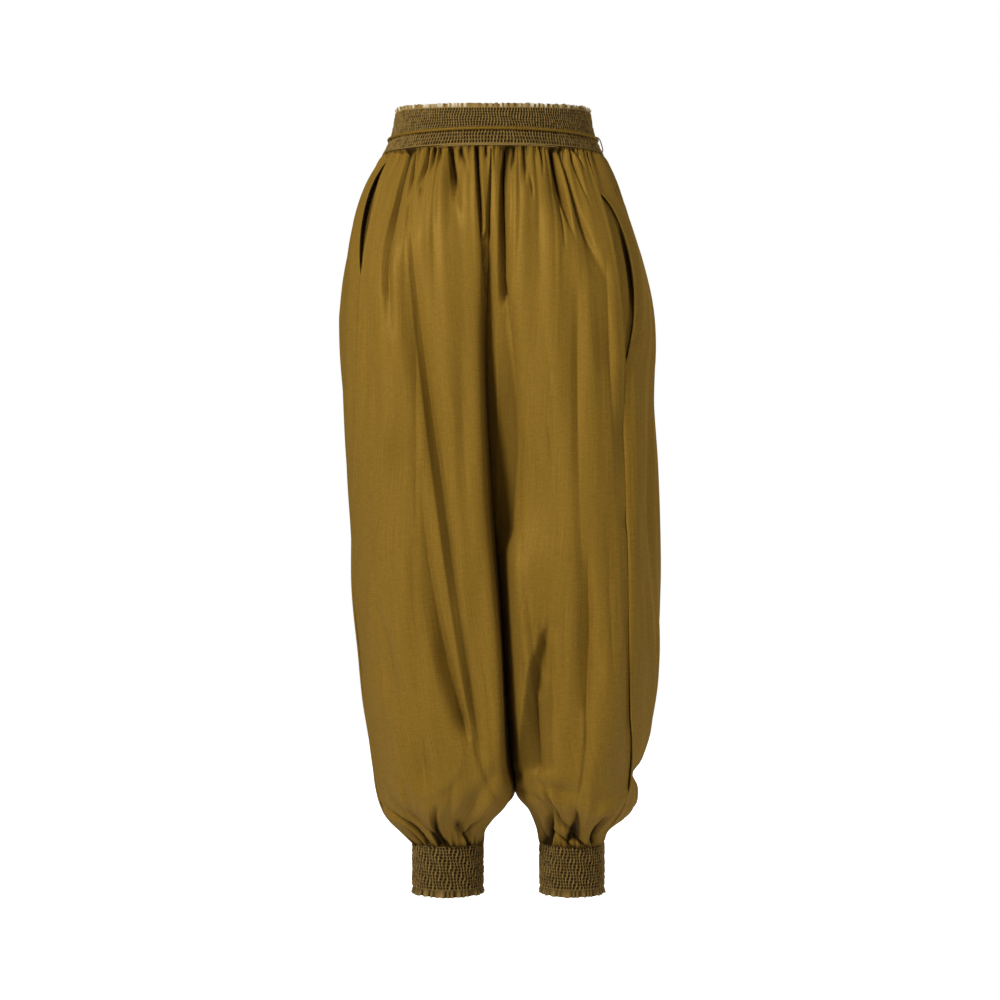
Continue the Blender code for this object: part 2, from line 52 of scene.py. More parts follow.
MERGE_DISTANCE = 0.00001
TINY = 1e-9

# Cloth thickness of the silk and of the shirred bands in metres, and the gap between solids
SILK_WALL = 0.45 * MM
BAND_WALL = 0.9 * MM
SEAM_GAP = 0.3

# Heights that divide the garment
WAIST_SEAM = -22.0
CROTCH = -716.0
CUFF_SEAM = -893.0
HEM = -957.0

# Legs seen from the front and the side, one row for each height. outer, seam and inner are the X
# of a leg's outline, side seam and inner edge, and centre is the X of the centre seams. front and
# back are the Y of the leg's fullest points. front_seam and back_seam are the Y of the centre
# seams, and below the crotch they are the Y of the inseam.
SECTION_COLUMNS = (
    "height", "right_outer", "right_seam", "right_inner", "centre", "left_inner", "left_seam",
    "left_outer", "front", "back", "front_seam", "back_seam")
SECTIONS = (
    (-22, -142, -128, -2.4, -2, -1.6, 118, 142, -97, 97, -97, 97),
    (-60, -161, -141, -4, -2, 0, 128, 159, -112, 115, -107, 112),
    (-100, -175, -150, -6, -3, 0, 138, 174, -122, 129, -112, 122),
    (-150, -186, -158, -9, -4, 1, 147, 189, -130, 140, -111, 128),
    (-200, -193, -163, -12, -6, 0, 154, 199, -134, 145, -105, 129),
    (-260, -195, -166, -13, -8, -3, 160, 205, -136, 146, -92, 122),
    (-330, -192, -168, -11, -7, -2, 162, 205, -137, 143, -74, 108),
    (-410, -187, -171, -7, -3, 2, 164, 209, -137, 139, -54, 90),
    (-490, -180, -174, -2, 2, 8, 165, 211, -136, 135, -38, 70),
    (-570, -178, -174, 4, 9, 16, 167, 212, -133, 131, -24, 50),
    (-650, -170, -167, 11, 14, 19, 168, 212, -130, 127, -10, 26),
    (-716, -164, -161, 15, 18, 22, 169, 205, -126, 123, 2, 2),
    (-755, -158, -155, 17, 21, 26, 170, 198, -123, 119, 14, 14),
    (-790, -154, -150, 20, 24, 28, 170, 187, -118, 113, 16, 16),
    (-826, -149, -144, 25, 28, 31, 165, 183, -108, 103, 8, 8),
    (-845, -144, -138, 16, 28, 43, 157, 180, -95, 90, 0, 0),
    (-860, -137, -129, 0, 24, 50, 149, 169, -79, 75, 0, 0),
    (-876, -121, -114, -10, 22, 56, 139, 149, -61, 59, 0, 0),
    (-893, -103, -98, -12, 21, 59, 134, 142, -45, 45, 0, 0),
)

# A leg's roundness: 2 is an ellipse, and more is squarer. The inner sides' changes with height
ELLIPSE = 2.0
OUTER_ROUNDNESS = 2.1
INNER_ROUNDNESS_COLUMNS = ("height", "right", "left")
INNER_ROUNDNESS = (
    (-22, 6.5, 3.0),
    (-220, 8.0, 2.8),
    (-340, 10.0, 2.3),
    (-500, 12.0, 2.3),
    (-600, 14.0, 4.6),
    (-716, 16.0, 5.0),
)
LOBE_END = -190.0
CURVE_STEPS = 72

# How the legs' inner sides lean to the seams, touch, part, and bow behind the inseams
WALL_LEAN = 0.45
LEGS_TOUCH = -826.0
LEGS_PART = -850.0
LEG_GAP = 0.6
BACK_BOW = 4.0
BACK_BOW_TOP = -650.0

# Largest folds, which the solids have too: place and height of the top, middle and foot of each
# fold, its depth there (a ridge is negative), and its half width. A front panel's places are X,
# as seen from the front, and a back panel's are measured round the leg from the side seam.
FOLD_COLUMNS = ("top", "top_z", "middle", "middle_z", "foot", "foot_z", "top_depth",
                "middle_depth", "foot_depth", "half_width")
FOLDS = {
    "right_front": (
        (-114, -22, -132, -96, -141, -195, 6, 11, 1, 10),
        (-56, -22, -51, -70, -46, -130, 6, 8, 0, 9),
        (-100, -166, -85, -290, -61, -470, 1, 8, 2, 12),
        (-122, -150, -108, -300, -84, -470, -1, -5, -1, 14),
        (-56, -433, -40, -570, -8, -800, -1, -4, -2, 12),
        (-80, -552, -60, -650, -38, -735, 2, 7, 1, 11),
        (-141, -630, -130, -676, -118, -715, 1, 7, 1, 10),
        (-90, -745, -86, -785, -80, -825, 1, 8, 2, 10),
        (-120, -838, -102, -856, -86, -878, 2, 7, 1, 9),
        (4, -790, -24, -832, -42, -868, 4, 8, 2, 10),
    ),
    "left_front": (
        (12, -22, 8, -110, 16, -215, 4, 7, 1, 8),
        (74, -22, 80, -80, 97, -150, 6, 10, 1, 10),
        (96, -40, 112, -125, 130, -190, 4, 10, 1, 10),
        (66, -150, 68, -330, 76, -520, -1, -7, -1, 16),
        (27, -419, 36, -540, 48, -701, -2, -10, -4, 12),
        (114, -500, 114, -655, 106, -800, 1, 10, 4, 15),
        (142, -560, 143, -660, 138, -770, -1, -7, -2, 15),
        (46, -806, 84, -814, 128, -826, 6, 8, 2, 10),
        (164, -826, 142, -842, 118, -852, -4, -7, -2, 9),
        (40, -818, 64, -840, 78, -868, 4, 8, 1, 9),
    ),
    "right_back": (
        (96, -22, 104, -100, 98, -210, 6, 8, 1, 10),
        (150, -22, 170, -110, 176, -230, 6, 11, 1, 11),
        (200, -22, 222, -90, 236, -180, 6, 8, 1, 10),
        (70, -180, 84, -360, 78, -560, 1, 8, 2, 14),
        (240, -250, 226, -420, 204, -600, 1, 10, 2, 13),
        (290, -300, 276, -460, 262, -640, -1, -8, -2, 13),
        (120, -430, 140, -600, 152, -770, 1, 10, 2, 14),
        (40, -520, 52, -660, 60, -790, 1, 8, 2, 13),
        (210, -640, 198, -720, 180, -800, -2, -8, -2, 12),
        (60, -806, 110, -820, 170, -812, 4, 8, 2, 10),
    ),
    "left_back": (
        (84, -22, 92, -110, 104, -200, 6, 10, 1, 10),
        (138, -22, 148, -100, 140, -220, 6, 10, 1, 11),
        (190, -22, 214, -90, 232, -170, 6, 8, 1, 10),
        (66, -330, 58, -480, 74, -640, 1, 8, 2, 13),
        (250, -230, 244, -400, 222, -580, 1, 10, 2, 13),
        (150, -300, 160, -460, 152, -620, -1, -8, -2, 14),
        (110, -560, 128, -680, 132, -780, 1, 10, 4, 13),
        (200, -600, 196, -700, 182, -790, 1, 8, 2, 12),
        (20, -800, 70, -806, 130, -824, 6, 10, 2, 11),
    ),
}

# Finer creases, in the same columns
CREASES = {
    "right_front": (
        (-70, -60, -68, -150, -60, -260, 0, 2, 0, 9),
        (-128, -110, -130, -230, -124, -380, 0, 3, 0, 9),
        (-150, -200, -146, -330, -138, -480, 0, 3, 0, 10),
        (-38, -250, -34, -400, -22, -560, 0, 3, 0, 9),
        (-46, -300, -42, -460, -30, -600, 0, -2, 0, 8),
        (-104, -430, -98, -540, -92, -640, 0, 2.5, 0, 9),
        (-30, -600, -24, -690, -12, -780, 0, 4, 1, 7),
        (-10, -640, -4, -720, 2, -800, 0, 3, 0, 6),
        (-38, -761, -46, -795, -78, -816, -0.5, -2.5, -1.5, 3),
        (-46, -804, -55, -817, -76, -824, 0.5, 2.5, 2, 3),
        (-120, -838, -98, -854, -76, -875, 2, 6, 5, 3),
        (-98, -863, -92, -868, -86, -876, 1, 3, 2, 2),
        (-77, -862, -72, -868, -68, -876, 1, 3, 2, 2),
        (-42, -846, -41, -856, -44, -868, 1, 5, 4, 6),
        (-27, -860, -26, -868, -26, -878, 2, 5, 4, 3),
        (9, -842, -2, -851, -12, -863, 2, 5, 3, 3),
        (-112, -780, -108, -815, -98, -850, 0, 4, 1, 6),
        (-134, -800, -128, -832, -112, -862, 0, 4, 1, 6),
        (-46, -790, -50, -825, -52, -864, 0, 4, 1, 6),
        (-8, -806, -30, -844, -40, -880, 0, 4, 2, 5),
    ),
    "left_front": (
        (56, -50, 56, -120, 60, -210, 0, 2, 0, 8),
        (100, -170, 104, -290, 104, -420, 0, 3, 0, 9),
        (128, -200, 132, -330, 134, -470, 0, 2.5, 0, 10),
        (64, -357, 69, -385, 73, -420, 0.5, 2.5, 0.5, 2.5),
        (33, -376, 34.5, -390, 32, -412, 0.5, 2.5, 0.5, 2.5),
        (44, -240, 46, -360, 54, -500, 0, 2.5, 0, 9),
        (90, -520, 88, -620, 84, -740, 0, 3, 0, 9),
        (34, -620, 40, -700, 44, -780, 0, 4, 1, 6),
        (50, -805, 84, -816, 128, -826, 2, 4, 1, 6),
        (45, -785, 34, -796, 26, -810, 2, 4, 2, 3),
        (28, -818, 56, -835, 67, -872, 2, 6, 6, 3),
        (52, -806, 67, -828, 79, -858, 2, 5, 2, 3),
        (100, -832, 105, -850, 108, -878, 1, 6, 6, 3.5),
        (86, -859, 94, -864, 103, -872, 3, 5, 4, 3),
        (147, -836, 136, -852, 131, -874, 2, 7, 5, 3.5),
        (168, -824, 148, -838, 120, -851, -1, -2.5, -1.5, 3),
        (168, -831, 156, -835, 146, -840, 2, 3, 2, 2.5),
        (104, -820, 104, -846, 100, -876, 0, 4, 1, 6),
    ),
    "right_back": (
        (24, -198, 13, -214, 2, -231, 0.5, 2.5, 0.5, 4),
        (60, -30, 64, -110, 60, -200, 1, 4, 0, 7),
        (124, -26, 132, -80, 136, -150, 2, 4, 0, 6),
        (180, -30, 196, -110, 204, -230, 1, 3, 0, 8),
        (240, -40, 250, -150, 250, -270, 1, 4, 0, 8),
        (110, -220, 112, -340, 104, -480, 0, 3, 0, 9),
        (160, -300, 164, -430, 170, -560, 0, -3, 0, 10),
        (186, -380, 182, -500, 176, -640, 0, 3, 0, 9),
        (86, -600, 92, -700, 96, -790, 0, 4, 1, 7),
        (250, -620, 240, -720, 220, -800, 0, 4, 1, 7),
        (30, -780, 60, -830, 80, -870, 1, 5, 1, 6),
        (120, -790, 124, -832, 126, -872, 1, 5, 1, 6),
        (200, -790, 176, -836, 160, -870, 1, 5, 1, 6),
    ),
    "left_back": (
        (34, -238, 18, -254, 2, -270, 0.5, 2.5, 0.5, 4),
        (56, -30, 60, -110, 54, -210, 1, 4, 0, 7),
        (112, -26, 118, -80, 122, -140, 2, 4, 0, 6),
        (164, -30, 180, -110, 190, -230, 1, 3, 0, 8),
        (230, -40, 240, -150, 240, -270, 1, 4, 0, 8),
        (100, -220, 102, -340, 96, -480, 0, 3, 0, 9),
        (200, -300, 204, -430, 196, -560, 0, 3, 0, 10),
        (176, -380, 176, -500, 172, -640, 0, -2.5, 0, 9),
        (76, -600, 86, -700, 90, -790, 0, 4, 1, 7),
        (240, -620, 230, -720, 214, -800, 0, 4, 1, 7),
        (30, -780, 60, -830, 80, -870, 1, 5, 1, 6),
        (120, -790, 124, -832, 126, -872, 1, 5, 1, 6),
        (196, -790, 172, -836, 156, -870, 1, 5, 1, 6),
    ),
}

# How fine a fold's line is followed, how many half widths it reaches past its ends, how quickly a
# crease falls off to its sides, and how round its middle is
FOLD_STEPS = 81
FOLD_REACH = 3.0
CREASE_FALL = 1.4
CREASE_ROUNDING = 0.25

# Where the folds die out towards a panel's inner seam, and how wide the seam stays free of creases
FOLDS_END = 0.86
SEAM_CLEAR = 6.0

# Facets: a straight slope beside a crisp line, and an easy rise back. drop is how far the slope
# falls, width is how wide it is (a negative one falls the other way), and rise is how wide the
# way back is. A negative rise is for a slope that steepens towards its foot. Places are as for
# the folds.
FACET_COLUMNS = ("top", "top_z", "middle", "middle_z", "foot", "foot_z", "top_drop",
                 "middle_drop", "foot_drop", "top_width", "middle_width", "foot_width", "rise")
FACETS = {
    "right_front": (
        (-111, -26, -131, -105, -137, -200, 9.8, 13.7, 3.9, 4, 6, 8, 12),
        (-100, -26, -104, -62, -112, -100, 7.8, 7.8, 0, 3, 4, 3, 3),
        (-83, -26, -88, -50, -96, -76, 7.8, 9.8, 0, 3, 5, 4, 4),
        (-88, -62, -91, -78, -92, -91, 0, 4.9, 0, 2, 3, 2, 3),
        (-74, -26, -76, -40, -79, -56, 7.8, 5.9, 0, 3, 3, 3, 3),
        (-68, -26, -68, -36, -69, -48, 5.9, 3.9, 0, 2, 3, 2, 3),
        (-57, -26, -54, -60, -50, -98, 9.8, 15.6, 0, 4, 7, 5, 5),
        (-48, -60, -44, -85, -39, -108, 0, 5.9, 0, 2, 3, 2, 3),
        (-43, -30, -40, -42, -34, -58, 5.9, 5.9, 0, 4, 5, 4, 6),
        (-23, -32, -18.5, -100, -9, -203, 11.7, 15.6, 11.7, 4, 5, 6, 3),
        (-10.5, -26, -10.5, -34, -10, -42, 5.9, 3.9, 0, 2, 3, 2, 2),
        (-107.6, -120, -73.3, -433, -30, -725, 3, 12, 8, 6, 12, 10, 40),
        (-34, -705, -24, -765, -3, -818, 0, 2.6, 3.9, 6, 6, 4, 30),
        (-100, -440, -88, -580, -60, -722, 3, 10, 16, 14, 19, 24, -9),
        (-138, -154, -134.3, -203, -129.5, -251, 1.5, 6, 1.5, 7, 7, 7, 12),
        (-151, -567, -141.6, -628, -116, -703, 1.3, 3.9, 1.3, 5, 8, 8, 20),
        (-132, -251, -134.3, -397, -132, -530, 1.3, 6.5, 1.3, 40, 42, 40, 12),
        (-146.4, -203, -147.6, -288, -151.3, -385, 1, 3.5, 1, -9, -9, -9, 8),
        (-87, -743, -86, -778, -80, -812, 1.3, 4.5, 2.6, 4, 5, 4, 10),
        (-124, -846, -99, -864, -78, -888, 6, 13, 12, -5, -6, -5, 8),
        (-103, -872, -96, -880, -88, -890, 4, 9, 9, -4, -5, -4, 5),
        (-83, -866, -77, -876, -70, -890, 3, 9, 10, 3, 4, 4, 5),
        (-76, -842, -77, -860, -67, -887, 6, 14, 13, 5, 6, 7, 7),
        (-56, -849, -49, -862, -46, -874, 2, 7, 2, 6, 8, 8, 10),
        (-38, -871, -36, -880, -33, -890, 4, 10, 10, 3, 4, 4, 5),
        (-3, -848, -15, -860, -24, -870, 5, 10, 8, -5, -6, -5, 6),
    ),
    "left_front": (
        (47, -846, 54, -864, 59, -886, 2, 7, 7, 3, 4, 4, 5),
        (59, -838, 62, -860, 62, -887, 6, 14, 13, 6, 8, 8, 6),
        (71, -872, 80, -880, 92, -890, 3, 8, 7, 4, 5, 4, 5),
        (54.6, -818, 67, -843, 79, -862, 4, 10, 8, 6, 8, 6, 8),
        (87, -866, 96, -876, 106, -886, 3, 8, 8, 5, 6, 5, 5),
        (107, -848, 109, -862, 110, -878, 6, 13, 12, -4, -12, -18, 6),
        (152, -846, 140, -861, 132, -883, 6, 14, 12, -6, -9, -7, 6),
        (13, -26, 6.5, -85, 5, -203, 11.7, 17.6, 13.7, 4, 4, 4, 14),
        (7, -203, 16, -270, 18, -336, 6, 4, 1, 4, 6, 8, 14),
        (24, -26, 22, -42, 19, -60, 7.8, 7.8, 0, 3, 4, 3, 4),
        (33, -26, 33, -50, 34, -75, 7.8, 7.8, 0, 6, 8, 6, 4),
        (44, -60, 45.5, -75, 47, -90, 0, 4.9, 0, 2, 3, 2, 3),
        (56, -26, 58, -42, 59, -64, 7.8, 5.9, 0, 3, 4, 3, 3),
        (71, -26, 81, -82, 98, -146, 9.8, 15.6, 0, 5, 7, 6, 6),
        (80, -76, 83, -115, 86, -158, 0, 4.9, 0, 3, 3, 3, 4),
        (82, -26, 104, -110, 131, -190, 7.8, 9.8, 1, 3, 6, 10, 6),
        (94, -26, 108, -66, 121, -100, 5.9, 5.9, 0, 3, 3, 3, 3),
        (100, -26, 107, -38, 113, -50, 5.9, 5.9, 0, 3, 4, 3, 3),
        (118, -30, 128, -62, 141, -98, 11.7, 17.6, 0, 4, 6, 5, 5),
        (128, -36, 138, -66, 150, -104, 2, 5.9, 0, 4, 5, 4, 5),
        (96, -215, 94, -361, 100, -530, 1, 3, 1, 8, 9, 8, 12),
        (116, -178, 120.5, -276, 128, -361, 2.6, 6.5, 1.3, 24, 24, 20, 8),
        (3, -240, 7, -340, 4, -490, 7, 12, 11, 9, 15, 16, 24),
        (36, -215, 50, -336, 49, -494, 0.7, 4, 1.3, 20, 22, 22, 30),
        (25, -385, 29, -458, 34, -530, 0, 1.5, 0.5, 6, 6, 6, 6),
        (34, -524, 40.5, -603, 49, -688, 1.5, 5, 4, 5, 6, 6, 24),
        (66, -606, 75.6, -634, 84, -666, 1.3, 5.2, 3.9, -10, -14, -20, 10),
        (57, -622, 36, -706, 33, -780, 7, 19, 14, 7, 13, 16, 30),
        (57, -622, 36, -706, 33, -780, 2, 10, 8, 16, 34, 38, 44),
        (100, -540, 100, -615, 99, -700, 4, 8, 6, 16, 18, 16, -10),
        (109.6, -706, 109.6, -755, 103.6, -810, 2.6, 5.2, 3.9, 4.5, 5, 4.5, 12),
        (135, -506, 138, -615, 140, -688, 0.5, 2, 0.5, 6, 6, 6, 8),
        (142, -310, 144, -373, 150, -480, 2, 7, 3, 20, 18, 14, 60),
        (154, -490, 156, -615, 158, -720, 3, 5, 3, 10, 9, 8, 60),
    ),
    "right_back": (
        (24, -26, 28, -70, 26, -130, 4.6, 6.9, 0, 5.2, 7.8, 6.5, 9),
        (56, -26, 64, -90, 70, -170, 5.8, 8.1, 0, 5.2, 7.8, 7.8, 10.8),
        (80, -26, 84, -50, 88, -80, 4.6, 4.6, 0, 3.9, 5.2, 3.9, 7.2),
        (112, -26, 120, -64, 130, -110, 5.8, 6.9, 0, 5.2, 6.5, 5.2, 9),
        (138, -26, 150, -80, 158, -150, 5.8, 8.1, 0, 5.2, 7.8, 6.5, 10.8),
        (164, -26, 170, -46, 176, -70, 4.6, 4.6, 0, 3.9, 5.2, 3.9, 7.2),
        (188, -26, 202, -70, 208, -130, 5.8, 8.1, 0, 5.2, 7.8, 6.5, 9),
        (100, -130, 128, -420, 170, -760, 1.3, 7.8, 5.2, 6, 12, 8, 40),
        (236, -180, 214, -460, 182, -740, 1.3, 7.8, 6.5, -6, -12, -10, 40),
        (56, -260, 58, -450, 66, -640, 1.3, 5.2, 1.3, 34, 38, 34, 12),
        (310, -260, 290, -430, 266, -620, 1.3, 5.2, 1.3, -20, -24, -20, 20),
    ),
    "left_back": (
        (-22, -310, -22, -373, -22, -480, 2, 7, 3, 20, 20, 20, 14),
        (-22, -490, -22, -615, -22, -720, 3, 5, 3, 20, 20, 20, 10),
        (34, -26, 36, -60, 42, -110, 4.6, 6.9, 0, 5.2, 7.8, 6.5, 9),
        (62, -26, 66, -80, 62, -160, 5.8, 8.1, 0, 5.2, 7.8, 7.8, 10.8),
        (94, -26, 98, -50, 96, -80, 4.6, 4.6, 0, 3.9, 5.2, 3.9, 7.2),
        (118, -26, 124, -74, 134, -130, 5.8, 6.9, 0, 5.2, 6.5, 5.2, 9),
        (146, -26, 152, -60, 160, -100, 5.8, 6.9, 0, 5.2, 7.8, 6.5, 10.8),
        (172, -26, 184, -90, 190, -170, 5.8, 8.1, 0, 3.9, 6.5, 5.2, 9),
        (196, -26, 204, -46, 210, -70, 4.6, 4.6, 0, 3.9, 5.2, 3.9, 7.2),
        (16, -270, 16, -340, 12, -470, 1, 3, 1, -5, -5, -5, 60),
        (110, -150, 130, -430, 156, -750, 1.3, 7.8, 6.5, 6, 12, 9, 40),
        (250, -170, 226, -450, 186, -740, 1.3, 7.8, 6.5, -6, -12, -10, 40),
        (70, -280, 66, -460, 74, -650, 1.3, 5.2, 1.3, 30, 36, 32, 12),
        (330, -240, 312, -420, 284, -610, 1.3, 5.2, 1.3, -20, -24, -20, 20),
    ),
}

# How far a facet fades out past its ends, at least and as a share of its length
FACET_FADE = 10.0
LONG_FADE = 0.14

# How a slope is shaded: where its edges start and end across it, where it ends on the way back,
# the drop that counts as full, and the most that a deeper one counts
SLOPE_EDGE = (-1.0, 1.5)
SLOPE_END = 0.75
FULL_DROP = 10.0
MOST_SHADE = 1.6
SLOPE_SHADE = 0.33

# Gathers of each panel, at the waistband and at the cuff: number, depth, how far they reach, how
# uneven both are, how they fade at a panel's sides, and what sets each panel's apart
GATHERS = 13
WAIST_GATHER_DEPTH = 2.9
WAIST_GATHER_REACH = 55.0
CUFF_GATHER_DEPTH = 2.3
CUFF_GATHER_REACH = 34.0
UNEVEN_DEPTH = 0.25
UNEVEN_DEPTH_RATE = 1.7
UNEVEN_REACH = 0.5
UNEVEN_REACH_RATE = 0.9
GATHERS_FADE = 0.3
GATHER_SHIFTS = {"right_front": 0.0, "left_front": 1.3, "right_back": 2.6, "left_back": 3.9}

# Sideways drifts that keep what repeats uneven: amount, rate, and how often the shift is added
GATHER_DRIFTS = ((0.22, 14.0, 1.0), (0.14, 36.0, 2.0))
PUCKER_DRIFTS = ((0.6, 9.0, 1.0), (0.4, 23.0, 2.0))
RUFFLE_DRIFTS = ((0.35, 5, 0.0), (0.3, 13, 1.0))

# Close to the stitching the gathers are round puffs with sharp gaps, which start drawn in
PUFF_REACH = 30.0
PUFF_SHARPNESS = 2.4
DRAWN_IN = 0.8
DRAWN_IN_REACH = 2.6

# Edges that are sewn in behind the bands: how long, and how far in they lie
SEWN_LENGTH = 2.5
WAIST_SEWN_DEPTH = 1.3
CUFF_SEWN_DEPTH = 4.2

# How far in the cloth may lie at the stitching, and how steeply that grows away from it
SEWN_SINK = 1.0
SINK_SLOPE = 1.7

# Sharper tucks between the gathers, each with its own share of these sizes
TUCK_DEPTH = 3.4
TUCK_HALF_WIDTH = 1.9
TUCK_REACH = 15.0
TUCK_SHIFT = 0.25
TUCK_DEPTH_SHARES = (0.6, 1.3)
TUCK_WIDTH_SHARES = (0.7, 1.3)
TUCK_REACH_SHARES = (0.5, 1.6)
SHORT_TUCK_SHARE = 0.4
TUCK_FADE_POWER = 1.5
TUCK_SIDE_POWER = 1.4
TUCK_SPREAD = 0.8
LEAST_TUCK = 0.01

# Fine puckers right at the stitching
PUCKERS = 46
PUCKER_DEPTH = 0.9
PUCKER_REACH = 5.0

# Shade in what the stitching draws in: how far it reaches, how much each kind of hollow counts,
# the depth where it starts and over which it grows, and the most that it comes to
WAIST_SHADE_REACH = 60.0
CUFF_SHADE_REACH = 42.0
PUCKER_SHADE = 2.0
CREASE_SHADE = 0.8
SHADE_START = 1.0
SHADE_DEPTH = 5.0
MOST_NEAR_SHADE = 0.95
WAIST_STITCH_SHADE = 0.35
WAIST_STITCH_REACH = 3.0
CUFF_STITCH_SHADE = 0.6
CUFF_STITCH_REACH = 4.0
# The most painted shade that any point of a panel gets
MOST_PAINTED_SHADE = 0.97

# Long soft waves of the hanging cloth: height, width, and how far they wander
SOFT_WAVES = ((0.8, 38.0, 2.2), (0.9, 61.0, 1.7), (1.0, 97.0, 1.3))
SOFT_WAVE_LENGTH = 170.0
WAVE_WANDER_STEP = 1.9
WAVE_STEP = 2.3

# Columns and row spacings of a panel's grid, and how many rows apart its width is measured
PANEL_COLUMNS = 220
WIDE_ROWS = 6.6
FINE_ROWS = 1.6
FINE_REACH = 30.0
LEVEL_STEPS = 2000
WIDTH_STEP = 12

# Seam allowance turned in at a panel's edges, its lap at the centre, and the roll beside a seam
TURN_IN = (1.3, 3.0)
SHORT_TURN_IN = (1.0, 1.8)
SEAM_LAP = 1.2
SEAM_ROLL = 0.7
SEAM_ROLL_PLACE = 1.2
SEAM_ROLL_WIDTH = 2.4

# Pocket mouths in the side seams: heights, gape and lip of the mouth, how deep the facing lies
# behind it, between which heights, where that ends across it, and the depth of its pleats
POCKET_COLUMNS = ("top", "foot", "gape", "lip", "deep", "deep_top", "deep_foot", "deep_start",
                  "deep_end", "pleat")
POCKETS = {
    "right": (-34, -190, 17, 3, 6.5, -30, -180, 0.6, 0.8, 0.6),
    "left": (-78, -292, 32, 2.5, 8, -120, -228, 0.24, 0.4, 0.3),
}
GAPE_SKEW = 0.75
GAPE_FULLNESS = 0.8
LIP_SHARE = 0.12
POCKET_SEWN_DEPTH = 3.2
POCKET_MARGIN = 12.0
POCKET_ROWS = 90
POCKET_COLUMN_COUNT = 40
POCKET_FRONT_COLUMNS = 6
POCKET_PLEATS = 7
POCKET_PLEAT_LEAN = 0.01
POCKET_FULLNESS = 0.7
PLEAT_SHADE = 0.15
POCKET_SHADE = 0.55

# Waist rings, the waist's top at the sides and in front, its frill, rows, puckers and ruffles
WAIST_COLUMNS = ("height", "half_width", "half_depth")
WAIST = ((-22, 141, 97), (0, 130, 93), (40, 120, 87))
WAIST_TOP_SIDE = 33.0
WAIST_TOP_FRONT = 26.0
WAIST_FRILL = 6.0
WAIST_FRILL_STEPS = 5
WAIST_FRILL_STAND = 0.3
UPPER_ROWS = 8
LOWER_ROWS = 4
WAIST_PUCKERS = 220
WAIST_RUFFLES = 96

# Which random draws the waist's rows, frill, pale runs and pale flecks take
UPPER_DRAW = 1
LOWER_DRAW = 3
FRILL_DRAW = 2
RUN_DRAW = 4
FLECK_DRAW = 6

# Flat width and length of the bands, in metres
UPPER_FLAT = (1.1, 0.042)
LOWER_FLAT = (1.1, 0.022)
CUFF_FLAT = (0.42, 0.066)
PIPING_FLAT = (0.72, 0.0135)

# Shirring: its depth, how far its puffs stand out and sink in as shares of that, the stand of
# the rows' lines and of the gaps, how sharp its ridges are, and how its columns drift
SMOCKING = 1.3
WAIST_PUFF = (1.9, 0.4)
CUFF_PUFF = (2.0, 0.5)
LINE_STAND = 0.68
LINE_EDGE = 0.25
GAP_STAND = 0.05
RIDGE_SHARPNESS = 3.2
RIDGE_STRENGTHS = (0.75, 1.15)
COLUMN_DRIFT = 0.09
DRIFT_ROWS = (0.35, 0.65)
COLUMN_WAVES = 11
COLUMN_WAVE = 0.25
BAND_STEPS = 4
POINTS_A_PUCKER = 4

# Shade in the gaps: its most, and how much of it goes where the cloth stands proud
GAP_SHADE = (1.32, 1.3)

# Two corded rows along the lower band's foot: their height together, how far the cords stand
# out, their nicks, and their shade with what it loses on a cord and gains in a nick
LOWER_EDGE = 3.4
CORD_STEPS = 8
CORD_STAND = (0.3, 0.9)
CORD_ROUNDNESS = 0.8
CORD_NICK = 0.2
CORD_SHADE = (0.55, 0.5, 0.8)

# Painted highlight in pale runs and flecks along the waist frill's edge: number, and the least and
# most strength. Both together are kept between the values of PALE_LIMITS
PALE_RUNS = (40, 0.0, 1.6)
PALE_FLECKS = (300, -0.4, 1.3)
LEAST_RUN = 0.55
PALE_STRENGTH = 1.8
PALE_LOSS = 0.25
PALE_LIMITS = (-0.5, 1.0)

# Piping: radius, stand off the waist's ring, steps round the waist and the cord, its nicks, and
# how much painted shade it gets
PIPING_RADIUS = 2.1
PIPING_STAND = 2.7
PIPING_STEPS = 720
PIPING_SIDES = 12
PIPING_NICKS = ((0.10, 90, 0.0), (0.08, 57, 0.0))
PIPING_NICK = 0.1
PIPING_PAINTED_SHADE = 0.32

# Cuffs: middle, half width and half depth, which random draws each one takes, their shirring,
# and the frills at their hem and top
CUFF_COLUMNS = ("side", "middle_x", "half_width", "half_depth")
CUFFS = (("right", -57.5, 45.5, 45), ("left", 100.5, 41.5, 43))
CUFF_DRAWS = {"right": 5, "left": 9}
CUFF_ROWS = 14
CUFF_PUCKERS = 62
CUFF_RUFFLES = 34
CUFF_FRILL = 10.0
CUFF_FRILL_STEPS = 6
CUFF_FLARE = 1.6
HEM_SHADE = (0.62, 0.45, 0.22)
CUFF_TOP_STAND = 0.7
CUFF_TOP_WAVE = 0.4
CUFF_TOP_SHADE = (0.5, 0.45)

# Ruffled edges: depth of the waves, their least and most strength, and their edge's lift
FRILL_WAVE = 2.0
FRILL_POWER = 0.7
RUFFLE_STRENGTHS = (0.2, 1.3)
RUFFLE_LIFTS = (-0.9, 0.5)

# Thread loop for a belt, at the wearer's left: X and Z of places along it
LOOP_POINTS = ((131.5, 5), (134.5, 4), (136.5, 1), (138.2, -4), (139.6, -9), (140.4, -13),
               (139.0, -15))
LOOP_RADIUS = 0.7
LOOP_STEPS = 6
LOOP_SIDE_STEPS = 2

